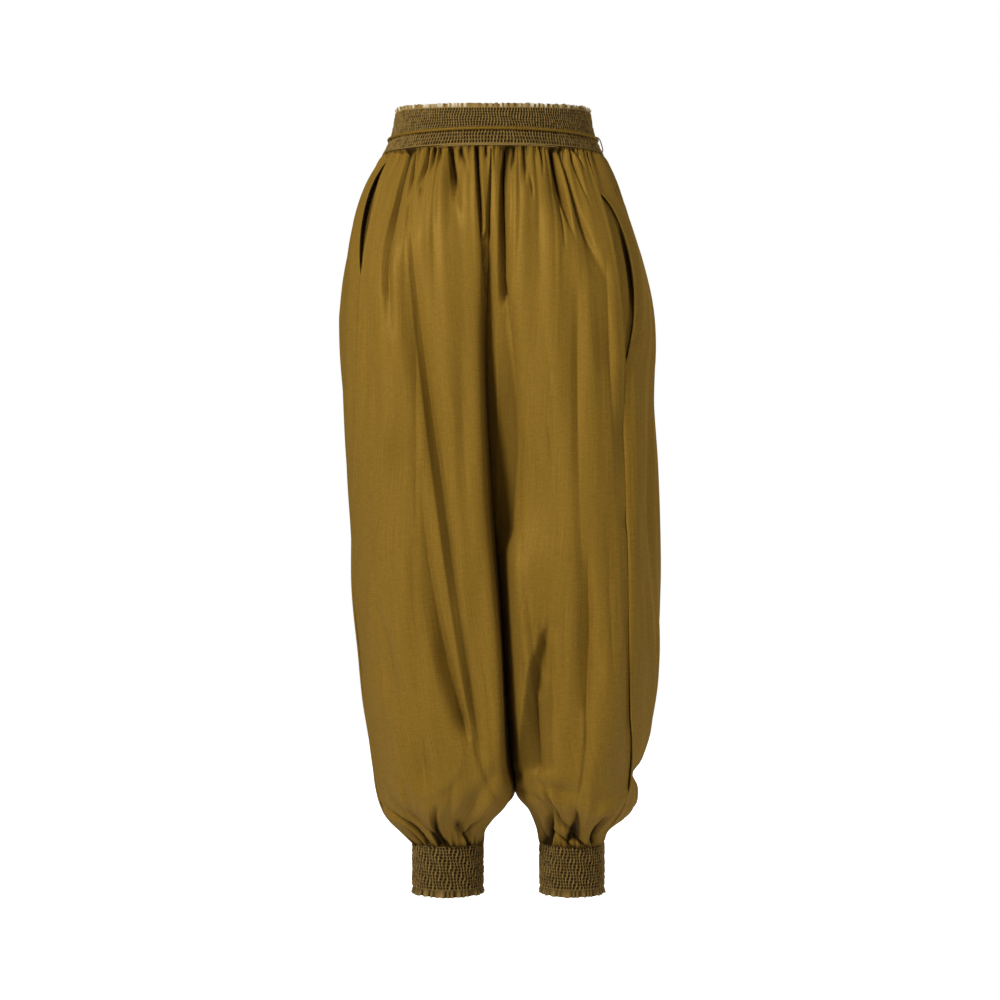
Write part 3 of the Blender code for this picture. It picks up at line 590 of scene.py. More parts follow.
# Colours, as linear values
SILK_LIGHT = (0.280, 0.158, 0.022)
SILK_DARK = (0.168, 0.093, 0.011)
# Painted shade colour that the silk darkens to in its hollows and on its slopes
SILK_PAINTED_SHADE = (0.02, 0.010, 0.002)
SILK_SHEEN = (0.9, 0.65, 0.25)
SILK_GLOSS = (1.0, 0.6, 0.14)
SHIRRED_LIGHT = (0.255, 0.160, 0.047)
# Painted shade colour in the gaps of the shirring
SHIRRED_PAINTED_SHADE = (0.008, 0.005, 0.002)
# Painted highlight colour at a frill's edge
FRILL_PAINTED_HIGHLIGHT = (0.74, 0.66, 0.47)
WHITE = (1.0, 1.0, 1.0, 1.0)
FLOOR_WHITE = (0.92, 0.92, 0.92)
FLOOR_BRIGHT = (0.95, 0.95, 0.95)

# Weave: scale of each noise across, along and through the cloth, its detail and its roughness
WEAVE = {
    "warp_streaks": ((900.0, 14.0, 1.0), 3.0, 0.6),
    "weft_streaks": ((60.0, 900.0, 1.0), 3.0, 0.6),
    "cloud": ((26.0, 5.0, 1.0), 2.0, 0.5),
    "warp_threads": ((2600.0, 180.0, 1.0), 1.0, 0.5),
    "weft_threads": ((160.0, 2600.0, 1.0), 1.0, 0.5),
    "slubs": ((330.0, 420.0, 1.0), 4.0, 0.75),
}
WARP_SHARE = 0.35
WEFT_SHARE = 0.25
SLUB_SHARE = 0.4
THREAD_SHARE = 0.35

# Ranges over which the cloth's masks work: streaks, painted shade, painted highlight at frill
# edges, gloss, and edge-on views
STREAK_RANGE = (0.38, 0.62)
PAINTED_SHADE_RANGE = (0.15, 0.85)
PAINTED_HIGHLIGHT_RANGE = (-0.1, -1.0)
CLOUD_RANGE = (0.3, 0.7)
GLOSS_SPREAD = (-0.05, 0.07)
EDGE_ON_RANGE = (0.3, 0.8)
EDGE_ON_ROUGHNESS = 0.95
EDGE_ON_BLEND = 0.5
RELIEF_DEPTH = 0.0003
SHEEN_ROUGHNESS = 0.45
SPECULAR_LEVEL = 0.3

# The photo's view, in metres, and the floor
CAMERA_PLACE = (0.0089, -2.7, -0.4577)
VIEW_WIDTH = 1.275
SENSOR = 36.0
FLOOR_LEVEL = -1.09
FLOOR_RADIUS = 3.0
FLOOR_SIDES = 96
FLOOR_GLOW = 1.0
FLOOR_ROUGHNESS = 0.9
FLOOR_CLOUDS = 3.0

# Soft lights: place and size in metres, power in watts, and whether the cloth's gloss shows them
WORLD_LIGHT = 0.07
WORLD_GLOSS = 0.2
LIT_PLACE = (0.0, 0.0, -0.4)
LIGHTS = (
    ("key", (-1.6, -2.25, 1.1), (0.7, 0.8), 75.0, True),
    ("fill", (0.6, -3.0, 0.2), (0.6, 1.6), 6.0, True),
    ("side", (2.6, 0.5, 0.1), (0.8, 1.6), 22.0, False),
    ("back", (1.5, 2.4, 0.9), (1.0, 1.0), 34.0, False),
    ("top", (0.0, -0.9, 1.9), (2.0, 1.0), 6.0, True),
)


def smooth_step(value, start, end):
    """0 before start, 1 after end, and smooth between them."""
    part = np.clip((value - start) / (end - start), 0.0, 1.0)
    return part * part * (3.0 - 2.0 * part)


def along(rows, names, name, height):
    """A table's column at a height, on a smooth curve through its rows."""
    column = names.index(name)
    ordered = sorted(rows, key=lambda row: row[0])
    places = np.array([row[0] for row in ordered], float)
    values = np.array([row[column] for row in ordered], float)
    slopes = np.gradient(values, places)
    height = float(np.clip(height, places[0], places[-1]))
    index = int(np.clip(np.searchsorted(places, height) - 1, 0, len(places) - 2))
    span = places[index + 1] - places[index]
    part = (height - places[index]) / span
    return ((2 * part ** 3 - 3 * part ** 2 + 1) * values[index]
            + (part ** 3 - 2 * part ** 2 + part) * span * slopes[index]
            + (3 * part ** 2 - 2 * part ** 3) * values[index + 1]
            + (part ** 3 - part ** 2) * span * slopes[index + 1])


def section(name, height):
    """A size of the legs at a height."""
    return along(SECTIONS, SECTION_COLUMNS, name, height)


def wander(drifts, places, shift=1.0):
    """The sum of a few slow waves, which keeps repeated forms uneven."""
    return sum(amount * np.sin(rate * places + times * shift) for amount, rate, times in drifts)


def random_copy(offset):
    """The same random draws each time, so that neighbouring rows of a piece agree."""
    return np.random.default_rng(SEED + offset)


def quadrant(side_x, side_y, end_x, end_y, roundness):
    """A quarter of a rounded outline, from a point that runs along Y to one that runs along X."""
    angles = np.linspace(0.0, math.pi / 2, CURVE_STEPS)
    reach = np.cos(angles).clip(0.0) ** (2.0 / roundness)
    rise = np.sin(angles).clip(0.0) ** (2.0 / roundness)
    return np.column_stack((end_x + (side_x - end_x) * reach, side_y + (end_y - side_y) * rise))


def half_outline(side, height, full_y, seam_y):
    """Half of a leg's outline, from its outermost point round the front or back to its seam."""
    outer = section(side + "_outer", height)
    inner = section(side + "_inner", height)
    centre = section("centre", height)
    turn = smooth_step(-height, -WAIST_SEAM, -LOBE_END)
    lobe = inner + 0.5 * turn * (outer - inner)
    inner_roundness = along(INNER_ROUNDNESS, INNER_ROUNDNESS_COLUMNS, side, height)
    foot = smooth_step(-height, -CROTCH, -CUFF_SEAM)
    inner_roundness = inner_roundness + (ELLIPSE - inner_roundness) * foot
    gap = SEAM_GAP if height > CROTCH else LEG_GAP
    touching = centre + math.copysign(0.5 * gap, outer)
    apart = smooth_step(-height, -LEGS_TOUCH, -LEGS_PART)
    edge = touching + apart * (inner - touching)
    if full_y > 0.0:
        bow = smooth_step(-height, -BACK_BOW_TOP, -CROTCH) * (1.0 - apart)
        inner += bow * (touching + BACK_BOW - inner)
    if height <= CROTCH:
        seam_y += math.copysign(0.5 * SEAM_GAP, full_y)
    wall = quadrant(1.0, seam_y, 0.0, full_y, inner_roundness)
    rise = (wall[:, 1] - seam_y) / (full_y - seam_y) if full_y != seam_y else wall[:, 0] * 0.0
    side_x = edge + (inner - edge) * smooth_step(rise, 0.0, WALL_LEAN)
    wall[:, 0] = lobe + (side_x - lobe) * wall[:, 0]
    return np.vstack((quadrant(outer, 0.0, lobe, full_y, OUTER_ROUNDNESS), wall[::-1]))


def round_lengths(outline):
    """The length from the outline's start to each of its points."""
    steps = np.linalg.norm(np.diff(outline, axis=0), axis=1)
    return np.concatenate(([0.0], np.cumsum(steps)))


def pocket_gape(side, height):
    """How far the back panel stands away from the side seam at a height."""
    pocket = dict(zip(POCKET_COLUMNS, POCKETS[side]))
    if not pocket["foot"] < height < pocket["top"]:
        return 0.0
    part = (pocket["top"] - height) / (pocket["top"] - pocket["foot"])
    return pocket["gape"] * math.sin(math.pi * part ** GAPE_SKEW) ** GAPE_FULLNESS


def pocket_lip(side, height):
    """How far the back panel's edge stands proud at a height."""
    pocket = dict(zip(POCKET_COLUMNS, POCKETS[side]))
    return pocket["lip"] * pocket_gape(side, height) / pocket["gape"]


def leg_row(side, face, across, height, gape=None):
    """Points of one panel's row. across is 0 at the side seam and 1 at the centre or inseam."""
    front = half_outline(side, height, section("front", height), section("front_seam", height))
    back = half_outline(side, height, section("back", height), section("back_seam", height))
    outline = np.vstack((back[::-1], front[1:]))
    lengths = round_lengths(outline)
    outermost = len(back) - 1
    lobe = outermost + CURVE_STEPS - 1
    seam_x = section(side + "_seam", height)
    outer_x = outline[outermost:lobe, 0]
    order = np.argsort(outer_x)
    seam = np.interp(seam_x, outer_x[order], lengths[outermost:lobe][order])
    gape = pocket_gape(side, height) if gape is None else gape
    if face == "front":
        places = seam + 0.5 * SEAM_GAP + across * (lengths[-1] - seam)
        places = np.minimum(places, lengths[-1])
    else:
        start = seam - 0.5 * SEAM_GAP - gape
        places = start - across * start
        places = np.maximum(places, 0.0)
    x = np.interp(places, lengths, outline[:, 0])
    y = np.interp(places, lengths, outline[:, 1])
    return np.column_stack((x, y, np.full(len(x), float(height))))


def leg_length(side, face, height):
    """The length of a panel's row round the leg."""
    row = leg_row(side, face, np.linspace(0.0, 1.0, CURVE_STEPS), height, gape=0.0)
    return round_lengths(row[:, :2])[-1]


def fold_depths(table, piece, places, height, crisp=False):
    """How deep the piece's folds in a table lie at each place of a row, in millimetres. Crisp ones
    come to a line at their middle."""
    depths = np.zeros(len(places))
    steps = np.linspace(0.0, 1.0, FOLD_STEPS)
    early = 2 * (steps - 0.5) * (steps - 1.0)
    middle = 4 * steps * (1.0 - steps)
    late = 2 * steps * (steps - 0.5)
    for row in table[piece]:
        fold = dict(zip(FOLD_COLUMNS, row))
        far = FOLD_REACH * fold["half_width"]
        if not fold["foot_z"] - far < height < fold["top_z"] + far:
            continue
        line = early * fold["top"] + middle * fold["middle"] + late * fold["foot"]
        line_z = early * fold["top_z"] + middle * fold["middle_z"] + late * fold["foot_z"]
        line_depth = np.interp(
            steps, (0.0, 0.5, 1.0),
            (fold["top_depth"], fold["middle_depth"], fold["foot_depth"]))
        away = np.hypot(places[:, None] - line, height - line_z)
        nearest = away.argmin(axis=1)
        distance = away.min(axis=1) / fold["half_width"]
        if crisp:
            profile = np.exp(-CREASE_FALL * (np.sqrt(distance ** 2 + CREASE_ROUNDING ** 2)
                                             - CREASE_ROUNDING))
        else:
            profile = np.exp(-distance ** 2)
        depths += line_depth[nearest] * profile
    return depths


def through_three(height, heights, values):
    """A value at a height, on the quadratic curve through three heights' values."""
    total = 0.0
    for index, value in enumerate(values):
        others = [other for other in range(3) if other != index]
        share = 1.0
        for other in others:
            share *= (height - heights[other]) / (heights[index] - heights[other])
        total += share * value
    return total


def facet_depths(piece, places, height):
    """How deep the piece's facets lie at each place of a row, in millimetres, and how strongly
    each place is shaded as part of a slope."""
    depths = np.zeros(len(places))
    slopes = np.zeros(len(places))
    for row in FACETS[piece]:
        facet = dict(zip(FACET_COLUMNS, row))
        beyond = max(height - facet["top_z"], facet["foot_z"] - height, 0.0)
        fade = max(FACET_FADE, LONG_FADE * (facet["top_z"] - facet["foot_z"]))
        if beyond > fade:
            continue
        heights = (facet["foot_z"], facet["middle_z"], facet["top_z"])
        line = through_three(height, heights, (facet["foot"], facet["middle"], facet["top"]))
        drop = np.interp(height, heights,
                         (facet["foot_drop"], facet["middle_drop"], facet["top_drop"]))
        width = np.interp(height, heights,
                          (facet["foot_width"], facet["middle_width"], facet["top_width"]))
        past_line = (places - line) * math.copysign(1.0, width)
        fall = np.clip(past_line / abs(width), 0.0, 1.0)
        back = 1.0 - np.clip((past_line - abs(width)) / abs(facet["rise"]), 0.0, 1.0)
        share = 1.0 - smooth_step(beyond, 0.0, fade)
        edges = smooth_step(past_line, *SLOPE_EDGE) * smooth_step(back, SLOPE_END, 1.0)
        if facet["rise"] < 0.0:
            edges = edges * fall
            fall = fall ** 2
        depths += drop * share * fall * back ** 2
        slopes = np.maximum(slopes, edges * share * min(drop / FULL_DROP, MOST_SHADE))
    return depths, slopes


def gather_heights(across, height, shift):
    """How far the gathers raise a panel's row at the waistband and at the cuff."""
    inner = np.clip(across, 0.0, 1.0)
    phase = GATHERS * across + wander(GATHER_DRIFTS, across, shift) * np.sin(math.pi * inner)
    crest = 2.0 * np.round(phase)
    valley = 2.0 * np.floor(phase) + 1.0
    apart = 2.0 * np.abs(phase - np.round(phase))
    soft = 0.5 - 0.5 * np.cos(math.pi * apart)
    round_puff = apart ** PUFF_SHARPNESS
    ends = np.sin(math.pi * inner) ** GATHERS_FADE
    total = np.zeros(len(across))
    for distance, depth, reach in (
            (WAIST_SEAM - height, WAIST_GATHER_DEPTH, WAIST_GATHER_REACH),
            (height - CUFF_SEAM, CUFF_GATHER_DEPTH, CUFF_GATHER_REACH)):

        def stand(index):
            waver = np.sin(UNEVEN_DEPTH_RATE * index + shift)
            uneven = 1.0 - UNEVEN_DEPTH + UNEVEN_DEPTH * waver
            longer = 1.0 + UNEVEN_REACH * np.sin(UNEVEN_REACH_RATE * index + 2.0 * shift)
            return depth * uneven * np.exp(-distance / (reach * longer))

        puffed = math.exp(-distance / PUFF_REACH)
        share = soft + puffed * (round_puff - soft)
        drawn = 1.0 - DRAWN_IN * math.exp(-distance / DRAWN_IN_REACH)
        total += drawn * stand(crest) * (1.0 - share) - stand(valley) * share
    return total * ends


def make_tucks(piece):
    """Short tucks of one panel: place across it, depth, half width, and reach at each end."""
    random = random_copy(sum(ord(letter) for letter in piece))
    tucks = []
    for index in range(2 * GATHERS - 1):
        shift = random.uniform(-TUCK_SHIFT, TUCK_SHIFT)
        place = (index + 1) / (2 * GATHERS) + shift / (2 * GATHERS)
        depth = TUCK_DEPTH * random.uniform(*TUCK_DEPTH_SHARES)
        width = TUCK_HALF_WIDTH * random.uniform(*TUCK_WIDTH_SHARES)
        reaches = TUCK_REACH * random.uniform(*TUCK_REACH_SHARES, 2)
        if index % 2:
            depth *= SHORT_TUCK_SHARE
            reaches *= SHORT_TUCK_SHARE
        tucks.append((place, depth, width, *reaches))
    return tucks


def tuck_depths(tucks, across, length, height):
    """How deep a panel's tucks lie along a row, near the waistband and near the cuff."""
    depths = np.zeros(len(across))
    from_waist = WAIST_SEAM - height
    from_cuff = height - CUFF_SEAM
    for place, depth, width, waist_reach, cuff_reach in tucks:
        away = np.abs(across - place) * length
        for distance, reach in ((from_waist, waist_reach), (from_cuff, cuff_reach)):
            fade = math.exp(-(distance / reach) ** TUCK_FADE_POWER)
            if fade > LEAST_TUCK:
                spread = width * (1.0 + TUCK_SPREAD * distance / reach)
                depths += depth * fade * np.exp(-(away / spread) ** TUCK_SIDE_POWER)
    return depths


def near_stitching(height, waist_reach, cuff_reach):
    """1 at the stitching of the waistband and of the cuff, and less further away from both."""
    return (np.exp(-(WAIST_SEAM - height) / waist_reach)
            + np.exp(-(height - CUFF_SEAM) / cuff_reach))


def pucker_heights(across, height, shift):
    """Fine puckers right beside the stitching of the waistband and the cuff."""
    wave = np.cos(FULL_TURN * (PUCKERS * across + wander(PUCKER_DRIFTS, across, shift)))
    return PUCKER_DEPTH * wave * near_stitching(height, PUCKER_REACH, PUCKER_REACH)


def soft_waves(places, height, shift):
    """Long soft waves down a panel, which wander a little sideways."""
    total = np.zeros(len(places))
    for number, (rise, width, reach) in enumerate(SOFT_WAVES):
        drift = reach * math.sin(height / SOFT_WAVE_LENGTH + WAVE_WANDER_STEP * number + shift)
        total += rise * np.sin(FULL_TURN * places / width + drift + WAVE_STEP * number + shift)
    return total


def panel_levels():
    """Heights of a panel's rows, close together near the waistband and the cuff."""
    heights = np.linspace(CUFF_SEAM, WAIST_SEAM, LEVEL_STEPS)
    near = near_stitching(heights, FINE_REACH, FINE_REACH)
    density = 1.0 / WIDE_ROWS + (1.0 / FINE_ROWS - 1.0 / WIDE_ROWS) * near
    total = np.concatenate(([0.0], np.cumsum(0.5 * (density[1:] + density[:-1])
                                             * np.diff(heights))))
    rows = int(round(total[-1]))
    return np.interp(np.linspace(0.0, total[-1], rows + 1), total, heights)


def row_directions(rows, side):
    """Level directions that point out of the leg, at each point of its rows."""
    tangent = np.gradient(rows, axis=1)
    tangent[..., 2] = 0.0
    outward = np.stack((tangent[..., 1], -tangent[..., 0], tangent[..., 2]), axis=-1)
    lengths = np.linalg.norm(outward, axis=2, keepdims=True)
    outward = outward / np.maximum(lengths, TINY)
    sign = 1.0 if side == "right" else -1.0
    if rows[0, -1, 1] > 0:
        sign = -sign
    return outward * sign


def wall_directions(rows, outward):
    """Directions square to the folded surface, on the same side as outward."""
    normals = np.cross(np.gradient(rows, axis=1), np.gradient(rows, axis=0))
    flip = np.sign(np.sum(normals * outward, axis=2, keepdims=True))
    normals = normals * np.where(flip == 0, 1.0, flip)
    return normals / np.maximum(np.linalg.norm(normals, axis=2, keepdims=True), TINY)


def grid_sheet(name, points, size):
    """A sheet of cloth through a grid of points, with its flat size as a UV map in metres, and the
    row and column of each of its points."""
    rows, columns = points.shape[:2]
    bpy.ops.object.select_all(action="DESELECT")
    bpy.ops.mesh.primitive_grid_add(
        x_subdivisions=columns - 1, y_subdivisions=rows - 1, size=1.0, location=(0, 0, 0))
    sheet = bpy.context.object
    sheet.name = name
    mesh = sheet.data
    mesh.name = name
    places = np.empty(len(mesh.vertices) * 3)
    mesh.vertices.foreach_get("co", places)
    places = places.reshape(-1, 3)
    column = np.rint((places[:, 0] + 0.5) * (columns - 1)).astype(int)
    row = np.rint((places[:, 1] + 0.5) * (rows - 1)).astype(int)
    mesh.vertices.foreach_set("co", (points[row, column] * MM).ravel())
    layer = mesh.uv_layers[0]
    layer.name = CLOTH_MAP
    corners = np.empty(len(layer.uv) * 2)
    layer.uv.foreach_get("vector", corners)
    layer.uv.foreach_set("vector", (corners.reshape(-1, 2) * size).ravel())
    return sheet, row, column


def set_painted_light(mesh, painted_light_values):
    """Store how much painted shade each point of a mesh gets, and below zero how much painted
    highlight, for its cloth's colour.
    """
    attribute = mesh.attributes.new(PAINTED_LIGHT_ATTRIBUTE, "FLOAT", "POINT")
    attribute.data.foreach_set("value", painted_light_values.astype(np.float32))


def merge_edges(turn_outward=False):
    """Join the edges of the active sheet where they meet."""
    bpy.ops.object.mode_set(mode="EDIT")
    bpy.ops.mesh.select_all(action="SELECT")
    bpy.ops.mesh.remove_doubles(threshold=MERGE_DISTANCE)
    if turn_outward:
        bpy.ops.mesh.normals_make_consistent(inside=False)
    bpy.ops.object.mode_set(mode="OBJECT")


def shape_sheet(name, points, size, painted_light, outward, wall, closed=False):
    """Cloth through a grid of points in millimetres: size is its flat width and length in metres,
    its painted light values say how much painted shade, or below zero painted highlight, each
    point gets, and outward shows which way its face looks."""
    sheet, row, column = grid_sheet(name, points, size)
    mesh = sheet.data
    set_painted_light(mesh, painted_light[row, column])
    mesh.update()
    if closed:
        merge_edges()
    face = mesh.polygons[len(mesh.polygons) // 2]
    corner = np.array(mesh.vertices[face.vertices[0]].co) / MM
    nearest = np.linalg.norm(points - corner, axis=2)
    at = np.unravel_index(nearest.argmin(), nearest.shape)
    if np.dot(np.array(face.normal), outward[at]) < 0.0:
        mesh.flip_normals()
    solid = sheet.modifiers.new("thickness", "SOLIDIFY")
    solid.thickness = wall
    solid.offset = -1.0
    solid.use_even_offset = False
    bpy.context.view_layer.objects.active = sheet
    bpy.ops.object.modifier_apply(modifier=solid.name)
    sheet.data.shade_smooth()
    return sheet


def dress_row(side, face, wide, row, height, tucks):
    """How far a panel's row stands off its section, and how much painted shade its points get."""
    piece = side + "_" + face
    shift = GATHER_SHIFTS[piece]
    from_waist = WAIST_SEAM - height
    from_cuff = height - CUFF_SEAM
    length = leg_length(side, face, height)
    places = row[:, 0] if face == "front" else wide * length
    panel_share = np.clip(wide, 0.0, 1.0)
    inside = smooth_step(panel_share, 1.0, FOLDS_END)
    clear = np.clip((1.0 - wide) * length / SEAM_CLEAR, 0.0, 1.0)

    folds = fold_depths(FOLDS, piece, places, height) * inside
    creases = fold_depths(CREASES, piece, places, height, crisp=True) * clear
    facets, slopes = facet_depths(piece, places, height)
    facets = facets * clear
    small = tuck_depths(tucks, wide, length, height) * clear
    puckers = pucker_heights(wide, height, shift) * clear
    gathers = gather_heights(wide, height, shift)
    roll_place = (panel_share * length - SEAM_ROLL_PLACE) / SEAM_ROLL_WIDTH
    roll = SEAM_ROLL * np.exp(-roll_place ** 2)
    waves = soft_waves(places, height, shift) * inside
    stand = gathers - folds - creases - facets - small + puckers + roll + waves
    if face == "back":
        stand = stand + pocket_lip(side, height) * np.exp(-(wide / LIP_SHARE) ** 2)
    stand = np.maximum(stand, -SEWN_SINK - SINK_SLOPE * min(from_waist, from_cuff))

    # Painted shade where the stitching draws the cloth in, from its tucks, puckers, facets and
    # creases
    near = near_stitching(height, WAIST_SHADE_REACH, CUFF_SHADE_REACH)
    drawn = (small - PUCKER_SHADE * puckers + CREASE_SHADE * facets
             + CREASE_SHADE * creases.clip(0.0))
    shade = np.clip((drawn - SHADE_START) / SHADE_DEPTH * near, 0.0, MOST_NEAR_SHADE)
    # Painted shade right along the stitching of the waistband and the cuff
    painted_seam_shade = (WAIST_STITCH_SHADE * math.exp(-from_waist / WAIST_STITCH_REACH)
                + CUFF_STITCH_SHADE * math.exp(-from_cuff / CUFF_STITCH_REACH))
    # Together with painted shade on the facets' slopes
    painted_light = np.clip(np.maximum(shade, SLOPE_SHADE * slopes) + painted_seam_shade, 0.0, MOST_PAINTED_SHADE)
    return stand, painted_light


def add_panel(side, face, levels):
    """A leg panel, sewn in behind the bands at both ends, with its side edges turned in."""
    piece = side + "_" + face
    across = np.linspace(0.0, 1.0, PANEL_COLUMNS + 1)
    wide = np.concatenate(([-across[1]], across))
    rows = np.array([leg_row(side, face, wide, height) for height in levels])
    outward = row_directions(rows, side)
    tucks = make_tucks(piece)
    painted_light = np.zeros(rows.shape[:2])
    for index, height in enumerate(levels):
        stand, painted_light[index] = dress_row(side, face, wide, rows[index], height, tucks)
        rows[index] += outward[index] * stand[:, None]
    normals = wall_directions(rows, outward)
    for index, height in enumerate(levels):
        normals[index, -1, 0 if height > CROTCH else 1] = 0.0
    normals /= np.linalg.norm(normals, axis=2, keepdims=True)
    rows = rows[:, 1:]
    normals = normals[:, 1:]
    painted_light = painted_light[:, 1:]

    top_edge = rows[-1] - outward[-1, 1:] * (stand[1:, None] + WAIST_SEWN_DEPTH)
    top_edge[:, 2] += SEWN_LENGTH
    foot_edge = rows[0] - outward[0, 1:] * CUFF_SEWN_DEPTH
    foot_edge[:, 2] -= SEWN_LENGTH
    rows = np.concatenate([foot_edge[None], rows, top_edge[None]])
    normals = np.concatenate([normals[:1], normals, normals[-1:]])
    levels = np.concatenate([levels[:1], levels, levels[-1:]])

    starts = [rows[:, :1] - normals[:, :1] * depth for depth in reversed(TURN_IN)]
    allowance = TURN_IN if side == "left" else SHORT_TURN_IN
    ends = [rows[:, -1:] - normals[:, -1:] * depth for depth in allowance]
    if side == "left":
        ends[1][levels > CROTCH, 0, 0] -= SEAM_LAP
    points = np.concatenate(starts + [rows] + ends, axis=1)
    normals = np.pad(normals, ((0, 0), (2, 2), (0, 0)), mode="edge")
    painted_light = np.pad(painted_light, ((1, 1), (2, 2)), constant_values=1.0)
    width = max(leg_length(side, face, height) for height in levels[::WIDTH_STEP]) * MM
    size = (width, (WAIST_SEAM - CUFF_SEAM) * MM)
    panel = shape_sheet(piece + "_silk", points, size, painted_light, normals, SILK_WALL)
    panel.data.materials.append(silk)
    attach(panel, "root")
    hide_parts(piece)


def add_pocket_facing(side):
    """The pocket's facing behind its mouth, with the fine pleats that its stitching pulls in."""
    pocket = dict(zip(POCKET_COLUMNS, POCKETS[side]))
    levels = np.linspace(pocket["foot"] - POCKET_MARGIN, pocket["top"] + POCKET_MARGIN,
                         POCKET_ROWS)
    back_columns = POCKET_COLUMN_COUNT - POCKET_FRONT_COLUMNS
    rows = []
    for height in levels:
        reach = pocket_gape(side, height) + POCKET_MARGIN
        back = np.linspace(reach, 0.0, back_columns) / leg_length(side, "back", height)
        front = np.linspace(0.0, POCKET_MARGIN, POCKET_FRONT_COLUMNS + 1)[1:]
        front = front / leg_length(side, "front", height)
        rows.append(np.vstack((leg_row(side, "back", back, height, gape=0.0),
                               leg_row(side, "front", front, height))))
    rows = np.array(rows)
    outward = row_directions(rows, side)
    depths = np.zeros(rows.shape[:2])
    painted_light = np.zeros(rows.shape[:2])
    share = np.linspace(0.0, 1.0, POCKET_COLUMN_COUNT)
    for index, height in enumerate(levels):
        folds = fold_depths(FOLDS, side + "_front", rows[index][:, 0], height).clip(0.0)
        pleat = 0.5 + 0.5 * np.cos(FULL_TURN * POCKET_PLEATS * share + POCKET_PLEAT_LEAN * height)
        part = (pocket["deep_top"] - height) / (pocket["deep_top"] - pocket["deep_foot"])
        open_here = math.sin(math.pi * min(max(part, 0.0), 1.0)) ** POCKET_FULLNESS
        under = 1.0 - smooth_step(share, pocket["deep_start"], pocket["deep_end"])
        sunk = (pocket["deep"] - POCKET_SEWN_DEPTH) * open_here * under
        depths[index] = (POCKET_SEWN_DEPTH + folds + sunk
                         + pocket["pleat"] * pleat * np.sin(math.pi * share))
        painted_light[index] = np.clip(PLEAT_SHADE * pleat + POCKET_SHADE * open_here * under,
                                0.0, MOST_NEAR_SHADE)
    points = rows - outward * depths[..., None]
    size = ((2 * POCKET_MARGIN + pocket["gape"]) * MM, (levels[-1] - levels[0]) * MM)
    facing = shape_sheet(side + "_pocket_facing", points, size, painted_light, outward, SILK_WALL)
    facing.data.materials.append(silk)
    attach(facing, "root")
    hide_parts(side + "_pocket_bag")


def shirred(random, turns, rows_at, rows, puckers):
    """How proud a row of shirred cloth stands: turns run round the band from 0 to 1, and rows_at
    is how many of its rows lie below."""
    shifts = np.cumsum(random.uniform(-COLUMN_DRIFT, COLUMN_DRIFT, rows + 1))
    strengths = random.uniform(*RIDGE_STRENGTHS, (rows + 1, puckers))
    row = min(int(rows_at), rows - 1)
    within = rows_at - row
    line = LINE_STAND * smooth_step(abs(within - 0.5), LINE_EDGE, 0.5)
    shift = shifts[row] + (shifts[row + 1] - shifts[row]) * smooth_step(within, *DRIFT_ROWS)
    wave = COLUMN_WAVE * np.sin(FULL_TURN * COLUMN_WAVES * turns + row)
    phase = turns * puckers + shift + wave
    column = np.mod(np.floor(phase).astype(int), puckers)
    ridge = np.abs(np.sin(math.pi * phase)) ** RIDGE_SHARPNESS
    return np.maximum(GAP_STAND + (1.0 - GAP_STAND) * ridge * strengths[row, column], line)


def puff_stand(proud, puff):
    """How far shirred cloth stands off its band's ring."""
    out, sink = puff
    return SMOCKING * (out * proud - sink)


def gap_shade(proud):
    """Painted shade in the gaps of shirred cloth, less where it stands proud."""
    most, fall = GAP_SHADE
    return np.clip(most - fall * proud, 0.0, 1.0)


def shirred_rows(draw, turns, count, puckers, puff):
    """Share of a band's height, stand and shade of each of its shirred rows, from the foot up."""
    for rows_at in np.linspace(0.0, count, count * BAND_STEPS + 1):
        proud = shirred(random_copy(draw), turns, rows_at, count, puckers)
        yield rows_at / count, puff_stand(proud, puff), gap_shade(proud)


def band_turns(puckers):
    """Places round a band from 0 to 1, with a few for every pucker, and their angles."""
    turns = np.linspace(0.0, 1.0, puckers * POINTS_A_PUCKER + 1)
    return turns, FULL_TURN * turns


def waist_place(height, stand, angles, rise=0.0):
    """Points round the waist at a height. rise lifts its front to the sides' height."""
    lifted = height + rise * (1.0 - np.clip(-np.sin(angles), 0.0, 1.0) ** 2)
    half_width = along(WAIST, WAIST_COLUMNS, "half_width", height)
    half_depth = along(WAIST, WAIST_COLUMNS, "half_depth", height)
    return np.column_stack(((half_width + stand) * np.cos(angles),
                            (half_depth + stand) * np.sin(angles), lifted))


def ruffle(random, turns, waves, share):
    """Sideways stand and lift of a frill's edge. share is 0 at its stitching and 1 at its edge."""
    drift = wander(RUFFLE_DRIFTS, FULL_TURN * turns)
    wave = np.sin(FULL_TURN * (waves * turns + drift))
    strength = np.interp(turns * waves, np.arange(waves + 1),
                         random.uniform(*RUFFLE_STRENGTHS, waves + 1))
    lift = np.interp(turns * waves * 2, np.arange(2 * waves + 1),
                     random.uniform(*RUFFLE_LIFTS, 2 * waves + 1))
    return FRILL_WAVE * wave * strength * share ** FRILL_POWER, lift * share


def uneven_round(random, turns, number, least, most):
    """Random strengths round the waist, with straight runs between them."""
    strengths = random.uniform(least, most, number + 1)
    return np.interp(turns * number, np.arange(number + 1), strengths)


def ring_directions(angles, rows):
    """Level directions that point out of a band, for each of its rows."""
    flat = np.column_stack((np.cos(angles), np.sin(angles), np.zeros(len(angles))))
    return np.repeat(flat[None], rows, axis=0)


def finish_band(name, rows, angles, painted_light, size, node):
    points = np.array(rows)
    band = shape_sheet(name, points, size, np.array(painted_light), ring_directions(angles, len(points)),
                       BAND_WALL, closed=True)
    band.data.materials.append(shirred_silk)
    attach(band, "root")
    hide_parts(node)


